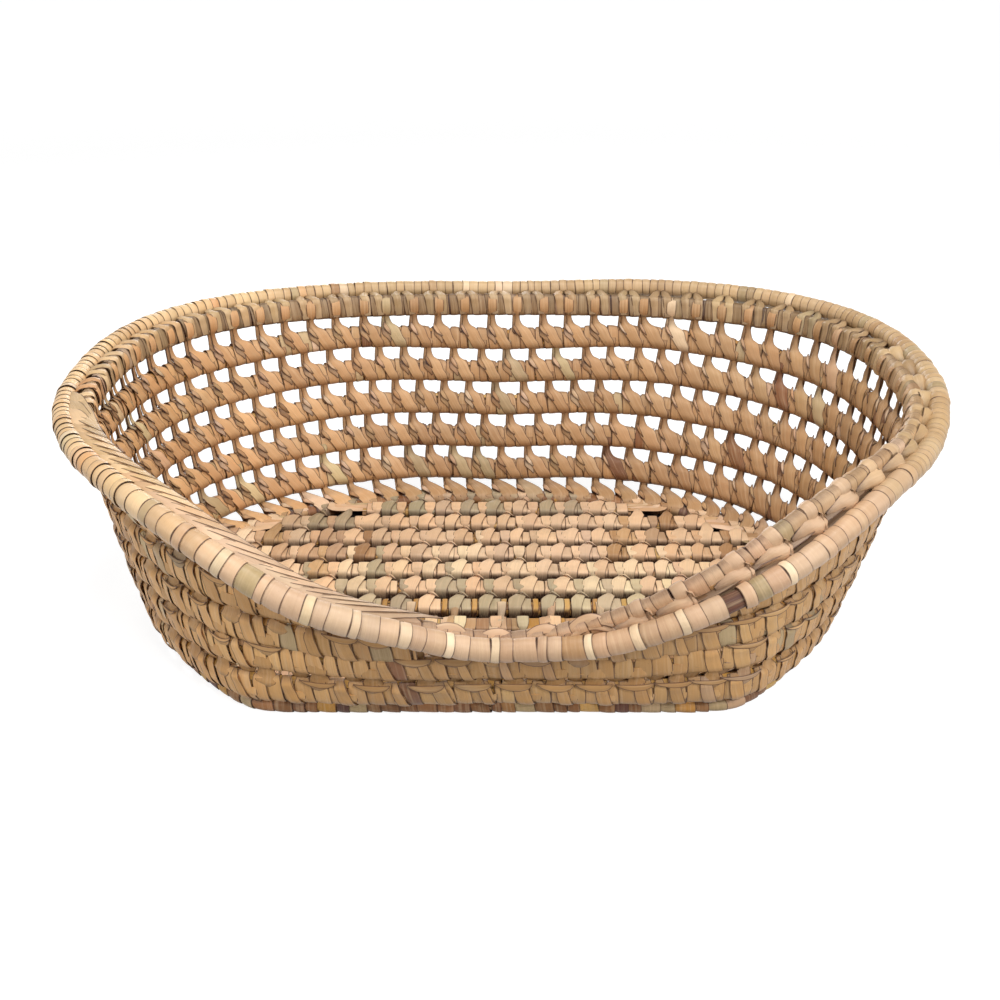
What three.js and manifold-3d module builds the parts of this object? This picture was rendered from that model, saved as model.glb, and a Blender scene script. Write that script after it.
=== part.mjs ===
// Oval pet basket coiled from palm leaf in open lace coiling, in millimetres, +Z up.
// Every row is a bundle of leaf strips (its core) in a wound leaf strip (its wrap), and each wrap
// has the stitches that cross the windows to the row that carries it.
// The origin is on the ground under the middle of its outline, and the low entry faces -Y.
import * as THREE from "three";
import { mergeVertices } from "three/addons/utils/BufferGeometryUtils.js";
import Module from "manifold-3d";

const wasm = await Module();
wasm.setup();

// Floor outline: an oval, squarer at the back, with a straight front edge.
const floorReachLeft = 199;
const floorReachRight = 186;
const floorReachBack = 130.5;
const floorReachFront = 132.5;
const floorFrontOval = 179;
const floorBackSquareness = 2.4;
const floorFrontSquareness = 1.8;

// Wall outline at the height wallReferenceHeight, where the wall is widest.
const wallReferenceHeight = 133;
const wallReachSide = 226;
const wallReachBack = 166;
const wallReachFront = 174;
const wallFrontOval = 184;
const wallBackSquareness = 2.7;
const wallFrontSquareness = 1.87;
const frontCornerSoftness = 4;

// How far the wall swells outwards below its rim, as a share of its own lean.
const bulgeLeft = 0.42;
const bulgeRight = 0.28;

// Heights along the rim, at these angles from the middle of the front to the middle of the back.
const rimAngles = [0, 15, 30, 45, 60, 75, 90, 115, 145, 180];
const bandHeights = [52, 61, 82, 108, 120, 120, 124, 128, 128, 126.5];
const rollHeightsLeft = [54, 65, 80, 106, 118, 121, 125, 132, 133, 132];
const rollHeightsRight = [54, 56, 75, 97, 114, 118, 129, 135, 135.5, 132];

// How far the rim roll stands out from the band, at these angles from the middle of the front.
const rollAngles = [0, 35, 65, 100, 180];
const rollStandoffs = [9.2, 13.5, 13, 15, 18.5];

// Rows: spacing up the wall, closer at the front, and spacing across the floor from its back. The
// floor has as many rows as leave this gap at its front, and the last ones are wider apart.
const wallRowCount = 5;
const wallPitch = 22;
const frontPitch = 17.4;
const frontPitchSpread = 92;
const firstRowDrop = 3;
const floorPitch = 22;
const frontFloorRows = 2;
const frontFloorPitch = 24.8;
const leastFrontGap = 4;

// One flat bundle: its width, its thickness at the middle and at its edges, and its core.
const bundleWidth = 12.4;
const bundleThickness = 6.8;
const bundleEdge = 5.2;
const bundleChamfer = 1.5;
const wrapThickness = 1.3;
const coreFit = 0.3;

// The round rim roll.
const rollDiameter = 10.6;
const rollWrapThickness = 1.3;
const rollSides = 8;
const rollHollowSides = 6;

// Stitches between rows, and lashings between the rim band and the rim roll.
const stitchPitch = 17.4;
const stitchWidth = 5.3;
const stitchThickness = 3;
const lashingPitch = 17.6;
const lashingWidth = 6.4;
const lashingHeight = 3.4;
const stitchBite = 0.8;
const shortestStitch = 2;
const facetMargin = 1;

// Gaps: a seat between two pieces, and the one where a wall row stops under the band.
const seatGap = 0.3;
const rowEndGap = 0.6;

// A wrap has one opening where its strip begins. The roll's is a broken binding at the front right.
const wrapOpening = 3;
const brokenBinding = 8.5;
const brokenBindingAngle = -51;
const edgeOpeningAngle = 98;
const rowOpeningAngle = 64;
const rowOpeningStep = 13;
const bandOpeningAngle = 41;

const stations = 36;
const scanStep = THREE.MathUtils.degToRad(0.25);
const heightStep = 0.5;
const slopeStep = 1;
const frontAngle = THREE.MathUtils.degToRad(-90);
const backAngle = THREE.MathUtils.degToRad(90);
const up = new THREE.Vector3(0, 0, 1);
const along = new THREE.Vector3(1, 0, 0);

// Angle from the middle of the front, 0 to 180 degrees.
function fromFront(angle) {
  const turn = THREE.MathUtils.euclideanModulo(angle - frontAngle + Math.PI, 2 * Math.PI) - Math.PI;
  return Math.abs(THREE.MathUtils.radToDeg(turn));
}

// 0 on the left side and 1 on the right, with a soft change at the front and back.
function rightShare(angle) {
  return THREE.MathUtils.smoothstep(Math.cos(angle), -0.6, 0.6);
}

// A smooth curve through listed heights, level at both ends.
function through(angles, values, angle) {
  const last = angles.length - 1;
  let i = 0;
  while (i < last - 1 && angle > angles[i + 1]) i += 1;
  const tangent = (k) =>
    k === 0 || k === last ? 0 : (values[k + 1] - values[k - 1]) / (angles[k + 1] - angles[k - 1]);
  const span = angles[i + 1] - angles[i];
  const u = THREE.MathUtils.clamp((angle - angles[i]) / span, 0, 1);
  const rise = 3 * u * u - 2 * u * u * u;
  const leave = u * (1 - u) * (1 - u) * span * tangent(i);
  const arrive = u * u * (u - 1) * span * tangent(i + 1);
  return values[i] + (values[i + 1] - values[i]) * rise + leave + arrive;
}

// Distance from the middle to an oval's outline, with its front cut off by a straight edge.
function ovalRadius(angle, side, back, front, backPower, frontPower, straightFront) {
  const across = Math.abs(Math.cos(angle)) / side;
  const deep = Math.sin(angle);
  const power = deep >= 0 ? backPower : frontPower;
  const reach = deep >= 0 ? back : front;
  const radius = (across ** power + (Math.abs(deep) / reach) ** power) ** (-1 / power);
  if (deep > -0.01) return radius;
  const cut = Math.min(straightFront / -deep - radius, 20 * frontCornerSoftness);
  return radius - frontCornerSoftness * Math.log(1 + Math.exp(-cut / frontCornerSoftness));
}

function floorRadius(angle) {
  const side = THREE.MathUtils.lerp(floorReachLeft, floorReachRight, rightShare(angle));
  return ovalRadius(
    angle, side, floorReachBack, floorFrontOval,
    floorBackSquareness, floorFrontSquareness, floorReachFront,
  );
}

function wallRadius(angle) {
  return ovalRadius(
    angle, wallReachSide, wallReachBack, wallFrontOval,
    wallBackSquareness, wallFrontSquareness, wallReachFront,
  );
}

// A point of the wall's middle surface.
function wallPoint(angle, height) {
  const share = height / wallReferenceHeight;
  const bulge = THREE.MathUtils.lerp(bulgeLeft, bulgeRight, rightShare(angle));
  const lean = share + bulge * share * (1 - share);
  const radius = THREE.MathUtils.lerp(floorRadius(angle), wallRadius(angle), lean);
  return new THREE.Vector3(radius * Math.cos(angle), radius * Math.sin(angle), height);
}

// The height at which the wall's surface has run a given length up from the floor's edge.
function heightAlongWall(angle, length) {
  let run = 0;
  let height = 0;
  let point = wallPoint(angle, 0);
  while (run < length) {
    const next = wallPoint(angle, height + heightStep);
    const part = next.distanceTo(point);
    if (run + part >= length) return height + (heightStep * (length - run)) / part;
    run += part;
    height += heightStep;
    point = next;
  }
  return height;
}

// A frame has a place, the way along the row, and the section's two axes, with a x b = t.
function makeFrame(place, before, after, wanted) {
  const t = after.clone().sub(before).normalize();
  const a = wanted.clone().addScaledVector(t, -wanted.dot(t)).normalize();
  const b = new THREE.Vector3().crossVectors(t, a).normalize();
  return { place, t, a, b };
}

function stationAngle(i) {
  return frontAngle + (i * 2 * Math.PI) / stations;
}

// The frames of a closed path at every station; wantedAxis gives the section's first axis there.
function framesOf(placeAt, wantedAxis) {
  const places = Array.from({ length: stations }, (_, i) => placeAt(stationAngle(i)));
  return places.map((place, i) => {
    const before = places[(i + stations - 1) % stations];
    const after = places[(i + 1) % stations];
    return makeFrame(place, before, after, wantedAxis(stationAngle(i), before, after));
  });
}

// How far an angle is round the stations: a station's number, and the share of the way to the next.
function stationOf(angle) {
  const turn = (THREE.MathUtils.euclideanModulo(angle - frontAngle, 2 * Math.PI) / (2 * Math.PI)) * stations;
  const i = Math.floor(turn) % stations;
  return { i, next: (i + 1) % stations, share: turn - Math.floor(turn) };
}

// The frame at any angle, on the straight facet between two stations.
function frameAt(frames, angle) {
  const { i, next, share } = stationOf(angle);
  const blend = (key) => frames[i][key].clone().lerp(frames[next][key], share);
  const t = frames[next].place.clone().sub(frames[i].place).normalize();
  return { place: blend("place"), t, a: blend("a"), b: blend("b") };
}

// An angle moved so that a piece that reaches this far to both sides of it stays on one facet.
function insideFacet(frames, angle, reach) {
  const { i, next, share } = stationOf(angle);
  const length = frames[i].place.distanceTo(frames[next].place);
  const margin = Math.min(0.5, (reach + facetMargin) / length);
  const moved = THREE.MathUtils.clamp(share, margin, 1 - margin) - share;
  return angle + (moved * 2 * Math.PI) / stations;
}

function at(frame, a, b, t = 0) {
  return frame.place
    .clone()
    .addScaledVector(frame.a, a)
    .addScaledVector(frame.b, b)
    .addScaledVector(frame.t, t);
}

function wallUp(angle, height) {
  return wallPoint(angle, height + slopeStep).sub(wallPoint(angle, height)).normalize();
}

function rowLength(index, angle) {
  const spread = THREE.MathUtils.smoothstep(fromFront(angle), 0, frontPitchSpread);
  const drop = firstRowDrop * THREE.MathUtils.smoothstep(fromFront(angle), 0, frontPitchSpread / 3);
  return index * THREE.MathUtils.lerp(frontPitch, wallPitch, spread) - drop;
}

function rowHeight(index, angle) {
  return heightAlongWall(angle, rowLength(index, angle));
}

function bandHeight(angle) {
  return through(rimAngles, bandHeights, fromFront(angle));
}

function rollHeight(angle) {
  const left = through(rimAngles, rollHeightsLeft, fromFront(angle));
  const right = through(rimAngles, rollHeightsRight, fromFront(angle));
  return THREE.MathUtils.lerp(left, right, rightShare(angle));
}

// Level and square to a path, away from the basket's middle.
function outwards(before, after) {
  const way = after.clone().sub(before).setZ(0).normalize();
  return new THREE.Vector3(way.y, -way.x, 0);
}

function outwardsAt(placeAt, angle) {
  return outwards(placeAt(angle - scanStep), placeAt(angle + scanStep));
}

const floorOutline = (angle) => wallPoint(angle, 0);
const edgeFrames = framesOf(
  (angle) =>
    floorOutline(angle)
      .addScaledVector(outwardsAt(floorOutline, angle), -bundleWidth / 2)
      .setZ(bundleThickness / 2),
  (angle, before, after) => outwards(before, after).negate(),
);
const wallFrames = Array.from({ length: wallRowCount }, (_, row) =>
  framesOf(
    (angle) => wallPoint(angle, rowHeight(row + 1, angle)),
    (angle) => wallUp(angle, rowHeight(row + 1, angle)),
  ),
);
const bandPlace = (angle) => wallPoint(angle, bandHeight(angle));
const bandFrames = framesOf(bandPlace, (angle) => wallUp(angle, bandHeight(angle)));
const rollFrames = framesOf(
  (angle) =>
    bandPlace(angle)
      .addScaledVector(outwardsAt(bandPlace, angle), through(rollAngles, rollStandoffs, fromFront(angle)))
      .setZ(rollHeight(angle)),
  () => up,
);

// Sections, as [a, b] points that run anticlockwise.
function standingSection() {
  const half = bundleWidth / 2;
  const edge = bundleEdge / 2;
  const middle = bundleThickness / 2;
  return [[half, -edge], [half, edge], [0, middle], [-half, edge], [-half, -edge], [0, -middle]];
}

// The face of the standing section that looks down the wall, and the roll's face to the band.
const lowerFace = 3;
const rollFace = 5;

function lyingSection() {
  const half = bundleWidth / 2;
  const flat = bundleThickness / 2;
  const c = bundleChamfer;
  return [
    [half, -flat + c], [half, flat - c], [half - c, flat], [-half + c, flat],
    [-half, flat - c], [-half, -flat + c], [-half + c, -flat], [half - c, -flat],
  ];
}

function coreSection(thickness, inset) {
  const half = bundleWidth / 2 - inset;
  const flat = thickness / 2 - inset;
  return [[half, -flat], [half, flat], [-half, flat], [-half, -flat]];
}

function roundSection(diameter, sides) {
  return Array.from({ length: sides }, (_, i) => {
    const turn = ((i + 0.5) * 2 * Math.PI) / sides;
    return [(diameter / 2) * Math.cos(turn), (diameter / 2) * Math.sin(turn)];
  });
}

function ringOf(frame, section) {
  return section.map(([a, b]) => at(frame, a, b));
}

function stripQuads(indices, start, next, count, inward) {
  for (let j = 0; j < count; j += 1) {
    const k = (j + 1) % count;
    const quad = [start + j, start + k, next + k, start + j, next + k, next + j];
    indices.push(...(inward ? quad.reverse() : quad));
  }
}

function solidFrom(points, indices) {
  const geometry = new THREE.BufferGeometry().setFromPoints(points);
  geometry.setIndex(indices);
  return toSolid(geometry);
}

function toSolid(geometry) {
  const bare = geometry.clone();
  bare.deleteAttribute("normal");
  bare.deleteAttribute("uv");
  const merged = mergeVertices(bare, 1e-4);
  return new wasm.Manifold(
    new wasm.Mesh({
      numProp: 3,
      vertProperties: merged.attributes.position.array,
      triVerts: new Uint32Array(merged.index.array),
    }),
  );
}

// A solid through rings of equal count, capped at both ends or closed on itself.
function loft(rings, closed = false) {
  const count = rings[0].length;
  const indices = [];
  const spans = closed ? rings.length : rings.length - 1;
  for (let i = 0; i < spans; i += 1) {
    stripQuads(indices, i * count, ((i + 1) % rings.length) * count, count, false);
  }
  if (!closed) {
    const end = (rings.length - 1) * count;
    for (let j = 1; j < count - 1; j += 1) {
      indices.push(0, j + 1, j);
      indices.push(end, end + j, end + j + 1);
    }
  }
  return solidFrom(rings.flat(), indices);
}

// Triangles of a flat outline with holes, wound the same way as the outline.
function faceTriangles(outline, holes) {
  const points = [...outline, ...holes.flat()];
  return THREE.ShapeUtils.triangulateShape([...outline], holes).map(([i, j, k]) => {
    const ahead = points[j].clone().sub(points[i]).cross(points[k].clone().sub(points[i]));
    return ahead > 0 ? [i, j, k] : [i, k, j];
  });
}

// A tube with a wall, open at both ends. Stitches grow out of one face of its outer side: each has
// the angle where it starts, its ring on that face as [across, along] points, and its foot's points.
function loftTube(frames, angles, outer, inner, face = 0, stitches = []) {
  const rings = angles.map((angle) => frameAt(frames, angle));
  const points = rings.flatMap((frame) => [...ringOf(frame, outer), ...ringOf(frame, inner)]);
  const count = outer.length + inner.length;
  const indices = [];
  for (let i = 0; i < rings.length - 1; i += 1) {
    const next = (i + 1) * count;
    const held = stitches.filter(({ angle }) => angle >= angles[i] && angle < angles[i + 1]);
    for (let j = 0; j < outer.length; j += 1) {
      const k = (j + 1) % outer.length;
      const corners = [i * count + j, i * count + k, next + k, next + j];
      const placed = j === face ? held : [];
      addStitchedFace(points, indices, corners, placed, (held) =>
        (held.angle - angles[i]) / (angles[i + 1] - angles[i]),
      );
    }
    const hole = i * count + outer.length;
    stripQuads(indices, hole, hole + count, inner.length, true);
  }
  const flat = (section) => section.map(([a, b]) => new THREE.Vector2(a, b));
  const end = (rings.length - 1) * count;
  faceTriangles(flat(outer), [flat(inner)]).forEach(([i, j, k]) => {
    indices.push(i, k, j);
    indices.push(end + i, end + j, end + k);
  });
  return solidFrom(points, indices);
}

// One face of a tube between two rings, opened where stitches start, with those stitches.
function addStitchedFace(points, indices, corners, stitches, shareOf) {
  const [p, q, r, s] = corners.map((index) => points[index]);
  const width = p.distanceTo(q);
  const length = p.distanceTo(s);
  const onFace = ([across, along]) => {
    const near = p.clone().lerp(q, across / width);
    const far = s.clone().lerp(r, across / width);
    return near.lerp(far, along / length);
  };
  const outline = [[0, 0], [width, 0], [width, length], [0, length]];
  const fitting = stitches.filter(({ ring }) => 2 * reachAlong(ring) + facetMargin < length);
  const holes = fitting.map((stitch) => {
    const reach = reachAlong(stitch.ring) + facetMargin / 2;
    const middle = THREE.MathUtils.clamp(shareOf(stitch) * length, reach, length - reach);
    return stitch.ring.map(([across, along]) => [width / 2 + across, middle + along]);
  });
  const starts = holes.map((hole) => {
    const start = points.length;
    points.push(...hole.map(onFace));
    return start;
  });
  const numbers = [...corners, ...starts.flatMap((start, i) => holes[i].map((_, j) => start + j))];
  const flat = (ring) => ring.map(([x, y]) => new THREE.Vector2(x, y));
  faceTriangles(flat(outline), holes.map(flat)).forEach((triangle) => {
    indices.push(...triangle.map((i) => numbers[i]));
  });
  fitting.forEach(({ foot }, i) => {
    const end = points.length;
    points.push(...foot);
    stripQuads(indices, starts[i], end, foot.length, false);
    for (let j = 1; j < foot.length - 1; j += 1) indices.push(end, end + j, end + j + 1);
  });
}

// How far a stitch's ring reaches along its row from its middle.
function reachAlong(ring) {
  return Math.max(...ring.map(([, along]) => Math.abs(along)));
}

// Angles from one end of a stretch to the other: the ends and every station between them.
function stretchAngles(from, to) {
  const step = (2 * Math.PI) / stations;
  const angles = [from];
  const first = Math.floor((from - frontAngle) / step) + 1;
  for (let i = first; frontAngle + i * step < to - 1e-6; i += 1) {
    if (frontAngle + i * step > from + 1e-6) angles.push(frontAngle + i * step);
  }
  angles.push(to);
  return angles;
}

// A row's stretch: all the way round, or from one end under the band to the other.
function openStretch(frames, openingAngle, opening) {
  const start = THREE.MathUtils.degToRad(openingAngle);
  const radius = frameAt(frames, start).place.clone().setZ(0).length();
  const half = opening / 2 / radius;
  return { from: start + half, to: start + 2 * Math.PI - half, whole: true };
}

// How far a row's upper edge lies below the band's lower edge at an angle.
function roomUnderBand(frames, angle) {
  const row = frameAt(frames, angle);
  const band = frameAt(bandFrames, angle);
  const top = at(row, bundleWidth / 2, 0);
  return -top.sub(band.place).dot(band.a) - bundleWidth / 2;
}

function rowStretch(row) {
  const frames = wallFrames[row];
  const reach = [-1, 1].map((way) => {
    let turn = 0;
    while (turn < Math.PI && roomUnderBand(frames, backAngle + way * (turn + scanStep)) > rowEndGap) {
      turn += scanStep;
    }
    return turn;
  });
  if (Math.min(...reach) >= Math.PI) {
    return openStretch(frames, rowOpeningAngle + row * rowOpeningStep, wrapOpening);
  }
  return { from: backAngle - reach[0], to: backAngle + reach[1], whole: false };
}

// Angles at even spacing along a stretch, half a spacing in from its ends, each well inside a facet.
function spacedAngles(frames, stretch, pitch, reach) {
  const angles = stretchAngles(stretch.from, stretch.to);
  const places = angles.map((angle) => frameAt(frames, angle).place);
  const runs = [0];
  places.slice(1).forEach((place, i) => runs.push(runs[i] + place.distanceTo(places[i])));
  const total = runs[runs.length - 1];
  const count = Math.round(total / pitch);
  return Array.from({ length: count }, (_, k) => {
    const run = ((k + 0.5) * total) / count;
    let i = 0;
    while (runs[i + 1] < run) i += 1;
    const share = (run - runs[i]) / (runs[i + 1] - runs[i]);
    return insideFacet(frames, THREE.MathUtils.lerp(angles[i], angles[i + 1], share), reach);
  });
}

// A stitch is a folded strip: flat on the basket's outside and ridged on its inside.
const stitchRing = [
  [-stitchThickness / 2, -stitchWidth / 2],
  [stitchThickness / 2, 0],
  [-stitchThickness / 2, stitchWidth / 2],
];

function footOnRow(frame) {
  return stitchRing.map(([across, along]) => at(frame, bundleWidth / 2 + seatGap, -across, along));
}

// On the floor's edge row a stitch stands on the outer half of the upper face.
function footOnEdge(angle) {
  const frame = frameAt(edgeFrames, angle);
  const height = bundleThickness / 2 + seatGap;
  return stitchRing.map(([across, along]) => at(frame, across - bundleWidth / 4, height, along));
}

function middleOf(ring) {
  return ring.reduce((sum, point) => sum.add(point), new THREE.Vector3()).divideScalar(ring.length);
}

// Stitches from a row's lower edge, at these angles, where the row below leaves room for one.
function stitchesOf(frames, angles, footAt) {
  return angles
    .map((angle) => ({ angle, ring: stitchRing, foot: footAt(angle) }))
    .filter(({ angle, foot }) => {
      const edge = at(frameAt(frames, angle), -bundleWidth / 2, 0);
      return edge.distanceTo(middleOf(foot)) > shortestStitch;
    });
}

// Materials in the colours of dried palm leaf: wound leaf is smoother than a cut bundle.
const wrapRoughness = 0.6;
const coreRoughness = 0.72;
const coreColor = "#c8994e";
const edgeColor = "#c39a6c";
const bandColor = "#bf9668";
const rollColor = "#cba27c";
const rollCoreColor = "#8d6a4c";
const floorColors = ["#c79f70", "#bd9a6d", "#c7a173", "#b29570"];
const wallColors = ["#b98d5f", "#bf9060", "#bb8f62", "#c2986a", "#c49d70"];

function meshOf(name, solid, color, roughness) {
  const made = solid.getMesh();
  const geometry = new THREE.BufferGeometry();
  geometry.setAttribute("position", new THREE.BufferAttribute(made.vertProperties, 3));
  geometry.setIndex(new THREE.BufferAttribute(made.triVerts, 1));
  geometry.computeVertexNormals();
  const material = new THREE.MeshStandardMaterial({ color, roughness, metalness: 0 });
  const mesh = new THREE.Mesh(geometry, material);
  mesh.name = name;
  return mesh;
}

// A core that fills its wrap: a closed ring, or a stretch as long as the wrap.
function coreSolid(frames, stretch, section) {
  if (stretch.whole) return loft(frames.map((frame) => ringOf(frame, section)), true);
  const angles = stretchAngles(stretch.from, stretch.to);
  return loft(angles.map((angle) => ringOf(frameAt(frames, angle), section)));
}

const bundleInset = wrapThickness + coreFit;

// Floor: the edge row's inner side is a polygon, and the straight rows end just inside it.
const edgeInner = edgeFrames.map((frame) => at(frame, bundleWidth / 2, 0));

// The x of the edge row's inner side at a depth y, to the left (-1) or right (1).
function edgeInnerX(y, side) {
  const hits = edgeInner.flatMap((p, i) => {
    const q = edgeInner[(i + 1) % stations];
    if ((p.y - y) * (q.y - y) > 0 || p.y === q.y) return [];
    return [p.x + ((q.x - p.x) * (y - p.y)) / (q.y - p.y)];
  });
  return side < 0 ? Math.min(...hits) : Math.max(...hits);
}

// The y of the edge row's inner side at x, at the front (-1) or back (1).
function edgeInnerY(x, side) {
  const hits = edgeInner.flatMap((p, i) => {
    const q = edgeInner[(i + 1) % stations];
    if ((p.x - x) * (q.x - x) > 0 || p.x === q.x) return [];
    return [p.y + ((q.y - p.y) * (x - p.x)) / (q.x - p.x)];
  });
  return side < 0 ? Math.min(...hits) : Math.max(...hits);
}

const floorDepth = floorReachBack + floorReachFront - 2 * bundleWidth;
const evenFloorDepth = floorDepth - leastFrontGap - frontFloorRows * frontFloorPitch;
const floorRowCount = frontFloorRows + Math.floor(evenFloorDepth / floorPitch);

function floorRowY(index) {
  const wide = Math.max(0, index - (floorRowCount - frontFloorRows));
  const even = index - wide;
  return floorReachBack - bundleWidth / 2 - even * floorPitch - wide * frontFloorPitch;
}

// One end of a straight row: the nearest place of the edge's inner side across the row's width.
function floorRowEnd(index, side) {
  const y = floorRowY(index);
  const low = y - bundleWidth / 2;
  const high = y + bundleWidth / 2;
  const corners = edgeInner.filter((p) => p.y > low && p.y < high && p.x * side > 0).map((p) => p.x);
  const reaches = [edgeInnerX(low, side), edgeInnerX(high, side), ...corners].map((x) => x * side);
  return side * (Math.min(...reaches) - seatGap);
}

const floorRows = Array.from({ length: floorRowCount }, (_, i) => {
  const left = floorRowEnd(i + 1, -1);
  const right = floorRowEnd(i + 1, 1);
  return { y: floorRowY(i + 1), left, right };
});

// Turns an extrusion of a Y, Z section along Z into one along X, about its own middle.
function alongRow(shape, length) {
  const geometry = new THREE.ExtrudeGeometry(shape, { depth: length, bevelEnabled: false });
  geometry.translate(0, 0, -length / 2);
  const turn = new THREE.Matrix4().makeBasis(new THREE.Vector3(0, 1, 0), up, along);
  return toSolid(geometry.applyMatrix4(turn));
}

// The y at which a floor stitch at x stops: the row behind, or the edge row's back or ends.
function stitchStop(index, x) {
  const behind = floorRows[index - 1];
  const xs = [x - stitchWidth / 2, x + stitchWidth / 2];
  const edge = Math.min(...xs.map((corner) => edgeInnerY(corner, 1)));
  const covered = behind && xs.every((corner) => corner > behind.left && corner < behind.right);
  const touched = behind && xs.some((corner) => corner > behind.left && corner < behind.right);
  if (touched && !covered) return null;
  return (covered ? behind.y - bundleWidth / 2 : edge) - seatGap;
}

// A floor stitch towards the back, flat above and ridged below. It starts at y = fromAt(x).
function stitchAcross(x, fromAt, toY, z = 0) {
  const corners = [
    [-stitchWidth / 2, stitchThickness / 2],
    [stitchWidth / 2, stitchThickness / 2],
    [0, -stitchThickness / 2],
  ];
  const ringAt = (yAt) => corners.map(([dx, dz]) => new THREE.Vector3(x + dx, yAt(x + dx), z + dz));
  return loft([ringAt(fromAt), ringAt(() => toY)]);
}

function evenPlaces(from, to, pitch, phase) {
  const count = Math.max(1, Math.floor((to - from) / pitch));
  const start = (from + to) / 2 - ((count - 1) * pitch) / 2;
  return Array.from({ length: count }, (_, i) => start + (i + phase) * pitch).filter(
    (x) => x > from + pitch / 4 && x < to - pitch / 4,
  );
}

function floorRowMeshes(row, index) {
  const shape = new THREE.Shape(lyingSection().map(([a, b]) => new THREE.Vector2(a, b)));
  const hollow = coreSection(bundleThickness, wrapThickness);
  shape.holes.push(new THREE.Path(hollow.map(([a, b]) => new THREE.Vector2(a, b))));
  const core = coreSection(bundleThickness, bundleInset);
  const coreShape = new THREE.Shape(core.map(([a, b]) => new THREE.Vector2(a, b)));
  const length = row.right - row.left;
  const middle = (row.left + row.right) / 2;
  const places = evenPlaces(row.left, row.right, stitchPitch, index % 2 ? 0.5 : 0);
  const wrap = places.reduce((sum, x) => {
    const stop = stitchStop(index, x);
    const start = () => bundleWidth / 2 - stitchBite;
    if (stop === null || stop - row.y - bundleWidth / 2 < shortestStitch) return sum;
    return sum.add(stitchAcross(x - middle, start, stop - row.y));
  }, alongRow(shape, length));
  const label = String(index + 1).padStart(2, "0");
  const color = floorColors[index % floorColors.length];
  const meshes = [
    meshOf("floor_row_" + label + "_wrap", wrap, color, wrapRoughness),
    meshOf("floor_row_" + label + "_core", alongRow(coreShape, length), coreColor, coreRoughness),
  ];
  meshes.forEach((mesh) => mesh.position.set(middle, row.y, bundleThickness / 2));
  return meshes;
}

function edgeMeshes() {
  const stretch = openStretch(edgeFrames, edgeOpeningAngle, wrapOpening);
  const hollow = coreSection(bundleThickness, wrapThickness);
  const angles = stretchAngles(stretch.from, stretch.to);
  const tube = loftTube(edgeFrames, angles, lyingSection(), hollow);
  const front = floorRows[floorRowCount - 1];
  const toY = front.y - bundleWidth / 2 - seatGap;
  const places = evenPlaces(front.left, front.right, stitchPitch, 0);
  const start = (x) => edgeInnerY(x, -1) - stitchBite;
  const wrap = places.reduce((sum, x) => {
    const xs = [x - stitchWidth / 2, x + stitchWidth / 2].map((corner) => edgeInnerY(corner, -1));
    if (toY - Math.max(...xs) < shortestStitch) return sum;
    return sum.add(stitchAcross(x, start, toY, bundleThickness / 2));
  }, tube);
  const core = coreSolid(edgeFrames, stretch, coreSection(bundleThickness, bundleInset));
  return [
    meshOf("floor_edge_wrap", wrap, edgeColor, wrapRoughness),
    meshOf("floor_edge_core", core, coreColor, coreRoughness),
  ];
}

const stretches = wallFrames.map((_, row) => rowStretch(row));

function wallRowMeshes(row) {
  const frames = wallFrames[row];
  const stretch = stretches[row];
  const hollow = coreSection(bundleEdge, wrapThickness);
  const below = row === 0 ? footOnEdge : (angle) => footOnRow(frameAt(wallFrames[row - 1], angle));
  const stitches = stitchesOf(frames, spacedAngles(frames, stretch, stitchPitch, stitchWidth / 2), below);
  const angles = stretchAngles(stretch.from, stretch.to);
  const wrap = loftTube(frames, angles, standingSection(), hollow, lowerFace, stitches);
  const core = coreSolid(frames, stretch, coreSection(bundleEdge, bundleInset));
  const name = "wall_row_" + (row + 1);
  return [
    meshOf(name + "_wrap", wrap, wallColors[row % wallColors.length], wrapRoughness),
    meshOf(name + "_core", core, coreColor, coreRoughness),
  ];
}

// Whether a wall row passes under the band at an angle, with room for a stitch's width.
function rowReaches(row, angle) {
  const stretch = stretches[row];
  if (stretch.whole) return true;
  const radius = frameAt(wallFrames[row], angle).place.clone().setZ(0).length();
  const margin = stitchWidth / radius;
  const turn = THREE.MathUtils.euclideanModulo(angle - stretch.from, 2 * Math.PI);
  return turn > margin && turn < stretch.to - stretch.from - margin;
}

// The foot of a band stitch: on the highest wall row that reaches this angle.
function footUnderBand(angle) {
  let row = wallRowCount - 1;
  while (row > 0 && !rowReaches(row, angle)) row -= 1;
  return rowReaches(row, angle) ? footOnRow(frameAt(wallFrames[row], angle)) : footOnEdge(angle);
}

// A band stitch passes every row end with room to spare, or it is left out.
function clearOfRowEnds(angle) {
  return stretches.every((stretch, row) => {
    if (stretch.whole) return true;
    const radius = frameAt(wallFrames[row], angle).place.clone().setZ(0).length();
    return [stretch.from, stretch.to].every((end) => {
      const turn = THREE.MathUtils.euclideanModulo(angle - end + Math.PI, 2 * Math.PI) - Math.PI;
      return Math.abs(turn) * radius > stitchWidth;
    });
  });
}

function bandMeshes() {
  const stretch = openStretch(bandFrames, bandOpeningAngle, wrapOpening);
  const hollow = coreSection(bundleEdge, wrapThickness);
  const places = spacedAngles(bandFrames, stretch, stitchPitch, stitchWidth / 2).filter(clearOfRowEnds);
  const stitches = stitchesOf(bandFrames, places, footUnderBand);
  const angles = stretchAngles(stretch.from, stretch.to);
  const wrap = loftTube(bandFrames, angles, standingSection(), hollow, lowerFace, stitches);
  const core = coreSolid(bandFrames, stretch, coreSection(bundleEdge, bundleInset));
  return [
    meshOf("rim_band_wrap", wrap, bandColor, wrapRoughness),
    meshOf("rim_band_core", core, coreColor, coreRoughness),
  ];
}

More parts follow.
